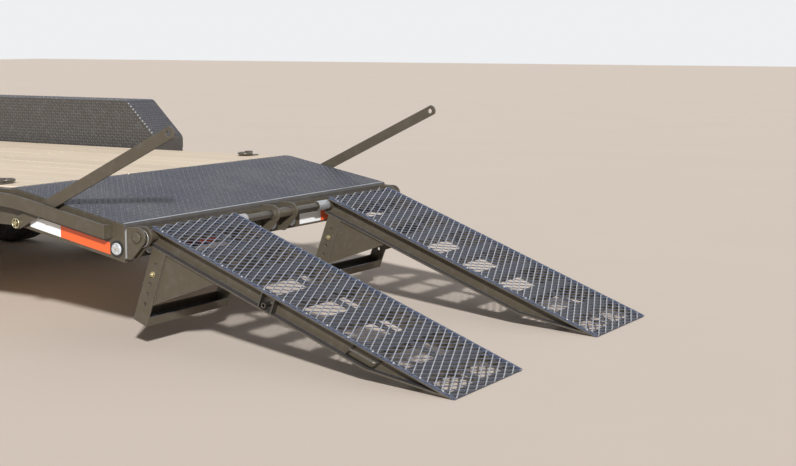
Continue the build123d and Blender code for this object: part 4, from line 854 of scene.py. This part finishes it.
class TRAILER_OT_fastenings(Operator):
    """Bolts, axle clamps, ends and sleeves of the hinge shaft, wheel valves and welds"""

    bl_idname = "trailer.fastenings"
    bl_label = "Fastenings"

    def execute(self, context):
        sizes = context.scene.trailer_sizes
        self.axle_clamps()
        for side, sign in SIDES.items():
            self.leg_bolts(side, sign)
            self.hinge_end(side, sign)
            self.wheel_valves(side, sign)
        self.welds(sizes)
        self.fold_glints()
        return {"FINISHED"}

    def bolt(self, form, place, out, across_flats, length):
        """Hex head on a washer, and the threaded end if it has one."""
        radius, washer = across_flats / math.sqrt(3), 0.0018
        form.lathe(place, out, [(0, radius * 1.25), (washer, radius * 1.25),
                                (washer + 0.0001, radius * 1.02)], 20)
        seat = Vector(place) + Vector(out) * washer
        form.lathe(seat, out, [(0, radius * 0.96), (0.0006, radius), (radius * 0.75, radius),
                               (radius * 0.85, radius * 0.86)], 6)
        if length:
            form.lathe(seat, out, [(0, radius * 0.52), (length, radius * 0.52),
                                   (length + 0.001, radius * 0.44)], 12)

    def leg_bolts(self, side, sign):
        """Plated bolts through the second hole of each leg plate."""
        top, down, out, _, y_low, y_high = ramp_axes(side)
        form = Form()
        place = top + down * LEG_BOLT_ALONG - out * LEG_BOLT_BELOW
        for y, way in ((y_high, 1), (y_low, -1)):
            self.bolt(form, place + Vector((0, y, 0)), (0, way, 0), 0.017, 0.012 if way == sign else 0.0)
        form.piece(f"leg_bolts_{side}", "zinc", f"ramp_{side}")

    def hinge_end(self, side, sign):
        """Washer, end cap and wire ring of the hinge shaft, and the bright sleeve of the ramp's barrel."""
        low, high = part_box("hinge_shaft")
        centre = (low + high) / 2
        out = (0, sign, 0)
        form = Form()
        form.lathe((centre.x, sign * EAR_WASHER, centre.z), out,
                   [(0, 0.0185), (0, 0.029), (0.0018, 0.029), (0.0018, 0.0185)], 28)
        form.lathe((centre.x, sign * (high.y - 0.001), centre.z), out,
                   [(0, 0.0225), (0.004, 0.0225), (0.006, 0.0195), (0.006, 0.0080), (0.0052, 0.0072)], 28)
        form.piece(f"shaft_cap_{side}", "frame_paint", "chassis")
        form = Form()
        loop, wire, sag, steps = 0.036, 0.0018, 0.007, 36
        angles = [math.tau * step / steps for step in range(steps)]
        form.rod([(centre.x + loop * math.cos(a), sign * LOCK_RING, centre.z - sag + loop * math.sin(a))
                  for a in angles], wire, 8, closed=True)
        form.piece(f"hinge_ring_{side}", "wheel_paint", "chassis")
        form = Form()
        bore, skin = 0.0180, 0.0243
        form.lathe((centre.x, sign * BARREL_START, centre.z), out,
                   [(0, bore), (0, skin), (BARREL_LENGTH, skin), (BARREL_LENGTH, bore)], 40)
        form.piece(f"barrel_sleeve_{side}", "wheel_paint", f"ramp_{side}")

    def wheel_valves(self, side, sign):
        """Rubber valve stem of each wheel on this side."""
        for axle in AXLES:
            low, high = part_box(f"wheel_{axle}_{side}")
            centre = (low + high) / 2
            form = Form()
            root = centre + Vector((0, sign * 0.046, 0.158))
            form.lathe(root, (0, sign, 0.25),
                       [(0, 0.0055), (0.006, 0.0062), (0.010, 0.004), (0.028, 0.0036),
                        (0.029, 0.0048), (0.039, 0.0048), (0.041, 0.003)], 12)
            form.piece(f"valve_{axle}_{side}", "grommet_rubber", f"wheel_set_{axle}_{side}")

    def axle_clamps(self):
        """Round clamps that hold each axle to its springs, with their nuts."""
        form = Form()
        for axle in AXLES:
            low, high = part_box(f"axle_{axle}")
            x, z = (low.x + high.x) / 2, (low.z + high.z) / 2
            for sign in SIDES.values():
                for shift in (-0.040, 0.040):
                    self.clamp(form, x + shift, sign * SPRING_LINE, z)
        form.piece("axle_clamps", "black_paint", "chassis")

    def clamp(self, form, x, y, z):
        """Bent rod over the spring, with a nut near each end."""
        reach, rise, drop, radius = 0.0285, 0.086, 0.062, 0.0055
        bend = ((0, -0.012), (0.004, -0.003), (0.012, 0))
        near = [(x, y - reach + inward, z + rise + fall) for inward, fall in bend]
        far = [(x, y + reach - inward, z + rise + fall) for inward, fall in reversed(bend)]
        form.rod([(x, y - reach, z - drop), *near, *far, (x, y + reach, z - drop)], radius, 10)
        for end in (-reach, reach):
            form.lathe((x, y + end, z - 0.048), (0, 0, -1), [(0, 0.0098), (0.010, 0.0098)], 6)

    def welds(self, sizes):
        """Scalloped beads on the rear beam, at its corners and along both faces of each outer ear."""
        form = Form()
        low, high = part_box("rear_beam")
        foot = low.z + 0.004
        for sign in SIDES.values():
            self.bead(form, (low.x, sign * high.y, foot), (low.x, sign * high.y, high.z - 0.002),
                      (-1, sign, 0), sizes)
            for y, way in EAR_FACES:
                self.bead(form, (low.x, sign * y, foot), (low.x, sign * y, high.z + 0.006),
                          (-1, way, 0), sizes)
        form.piece("frame_welds", "wheel_paint", "chassis", crease=60.0)

    def fold_glints(self):
        """Small bright domes along the folds between a fender's inner side and its sloped ends: painted
        glints of the lugs where the plate bends.
        """
        form = Form()
        gaps = 13
        for side, sign in SIDES.items():
            low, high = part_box(f"fender_{side}")
            y = low.y if sign > 0 else high.y
            for x0, x1 in ((low.x, low.x + FENDER_RUN), (high.x, high.x - FENDER_RUN)):
                foot, top = Vector((x0, y, high.z - FENDER_SHOULDER)), Vector((x1, y, high.z))
                for step in range(1, gaps):
                    form.lathe(foot.lerp(top, step / gaps), (0, -sign, 0.4),
                               [(-0.001, 0.0056), (0.0012, 0.0050), (0.0026, 0.0024)], 10)
        form.piece("fold_glints", "wheel_paint", "chassis")

    def bead(self, form, start, end, out, sizes):
        """One bead along a straight seam, its width rising and falling with each ripple."""
        start, end, out = Vector(start), Vector(end), Vector(out).normalized()
        run = end - start
        ripple = sizes.weld_width * 0.45
        count = max(4, int(run.length / ripple) * 2)
        direction = run.normalized()
        side = direction.cross(out)
        rings = []
        for step in range(count + 1):
            share = step / count
            uneven = noise.noise(start * 90 + Vector((share * 40, 0, 0)))
            size = sizes.weld_width * (0.42 + 0.07 * (step % 2) + 0.03 * uneven)
            if step in (0, count):
                size *= 0.4
            rings.append(circle(start + run * share, out, side, size, 8))
        form.strip(rings)


class TRAILER_OT_finishes(Operator):
    """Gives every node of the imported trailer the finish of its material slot"""

    bl_idname = "trailer.finishes"
    bl_label = "Finishes"

    def execute(self, context):
        make_finishes(context.scene.trailer_colours, context.scene.trailer_sizes)
        for part in frame["record"]["subparts"]:
            node = frame["nodes"][part["node"]]
            node.data.materials.clear()
            node.data.materials.append(bpy.data.materials[part["material_slot"]])
        return {"FINISHED"}


class TRAILER_OT_stage(Operator):
    """Pale floor, plain soft light and the camera"""

    bl_idname = "trailer.stage"
    bl_label = "Stage"

    def execute(self, context):
        stage = context.scene.trailer_stage
        self.floor(stage)
        self.world(context.scene, stage)
        self.lights(context.scene, stage)
        self.camera(context.scene, stage)
        context.scene.view_settings.view_transform = "Standard"
        return {"FINISHED"}

    def floor(self, stage):
        reach = 60.0
        corners = [(-reach, -reach, 0), (reach, -reach, 0), (reach, reach, 0), (-reach, reach, 0)]
        mesh = bpy.data.meshes.new("floor")
        mesh.from_pydata(corners, [], [(0, 1, 2, 3)])
        finish = Finish("floor_screed", 0.8)
        cloud = finish.ramp(finish.noise(0.8, 5.0, 0.6), 0.3, 0.7)
        finish.colour(finish.mix(cloud, scaled(stage.floor, 0.985), scaled(stage.floor, 1.01)))
        finish.bump(finish.noise(60.0, 4.0), 0.05, 0.002)
        mesh.materials.append(finish.material)
        floor = bpy.data.objects.new("floor", mesh)
        bpy.context.scene.collection.objects.link(floor)

    def world(self, scene, stage):
        """Even ambient light, with a brighter backdrop for the camera and for reflections."""
        scene.world = bpy.data.worlds.new("studio")
        scene.world.use_nodes = True
        tree = scene.world.node_tree
        ambient = tree.nodes["Background"]
        ambient.inputs["Color"].default_value = (*stage.backdrop, 1.0)
        ambient.inputs["Strength"].default_value = stage.ambient
        seen = tree.nodes.new("ShaderNodeBackground")
        seen.inputs["Color"].default_value = (*stage.backdrop, 1.0)
        seen.inputs["Strength"].default_value = 1.0
        path = tree.nodes.new("ShaderNodeLightPath")
        either = path.outputs["Is Camera Ray"]
        for kind in ("Is Glossy Ray", "Is Transmission Ray"):
            join = tree.nodes.new("ShaderNodeMath")
            join.operation = "MAXIMUM"
            tree.links.new(either, join.inputs[0])
            tree.links.new(path.outputs[kind], join.inputs[1])
            either = join.outputs[0]
        mix = tree.nodes.new("ShaderNodeMixShader")
        tree.links.new(either, mix.inputs["Fac"])
        tree.links.new(ambient.outputs[0], mix.inputs[1])
        tree.links.new(seen.outputs[0], mix.inputs[2])
        tree.links.new(mix.outputs[0], tree.nodes["World Output"].inputs["Surface"])

    def lights(self, scene, stage):
        """One broad key light, from the side and rear on which the photograph's light falls."""
        data = bpy.data.lights.new("key", "SUN")
        data.energy = stage.key_strength
        data.angle = stage.key_softness
        lamp = bpy.data.objects.new("key", data)
        towards = pointing(stage.key_heading, stage.key_height)
        lamp.location = towards * 20
        lamp.rotation_euler = towards.to_track_quat("Z", "Y").to_euler()
        scene.collection.objects.link(lamp)

    def camera(self, scene, stage):
        data = bpy.data.cameras.new("camera")
        data.sensor_width = 36.0
        data.lens = stage.lens
        camera = bpy.data.objects.new("camera", data)
        camera.location = stage.camera_place
        heading = pointing(stage.camera_yaw, stage.camera_pitch)
        camera.rotation_euler = heading.to_track_quat("-Z", "Y").to_euler()
        scene.collection.objects.link(camera)
        scene.camera = camera


class TRAILER_PT_panel(Panel):
    """Sizes, colours and pieces of the trailer"""

    bl_idname = "TRAILER_PT_panel"
    bl_label = "Car hauler trailer"
    bl_space_type = "VIEW_3D"
    bl_region_type = "UI"
    bl_category = "Trailer"

    def draw(self, context):
        for step in STEPS:
            self.layout.operator(step.bl_idname)
        scene = context.scene
        for group in (scene.trailer_sizes, scene.trailer_colours, scene.trailer_stage):
            box = self.layout.box()
            for name in group.__annotations__:
                box.prop(group, name)


STEPS = (TRAILER_OT_stage, TRAILER_OT_finishes, TRAILER_OT_deck, TRAILER_OT_treadplate,
         TRAILER_OT_ramp_treads, TRAILER_OT_lamps, TRAILER_OT_tyres, TRAILER_OT_fastenings)
CLASSES = (TrailerColours, TrailerSizes, TrailerStage, *STEPS, TRAILER_PT_panel)


def register():
    for cls in CLASSES:
        bpy.utils.register_class(cls)
    bpy.types.Scene.trailer_colours = PointerProperty(type=TrailerColours)
    bpy.types.Scene.trailer_sizes = PointerProperty(type=TrailerSizes)
    bpy.types.Scene.trailer_stage = PointerProperty(type=TrailerStage)


def unregister():
    del bpy.types.Scene.trailer_stage
    del bpy.types.Scene.trailer_sizes
    del bpy.types.Scene.trailer_colours
    for cls in reversed(CLASSES):
        bpy.utils.unregister_class(cls)


def main():
    register()
    bpy.ops.trailer.stage()
    bpy.ops.trailer.finishes()
    bpy.ops.trailer.deck()
    bpy.ops.trailer.treadplate()
    bpy.ops.trailer.ramp_treads()
    bpy.ops.trailer.lamps()
    bpy.ops.trailer.tyres()
    bpy.ops.trailer.fastenings()


if __name__ == "__main__":
    main()
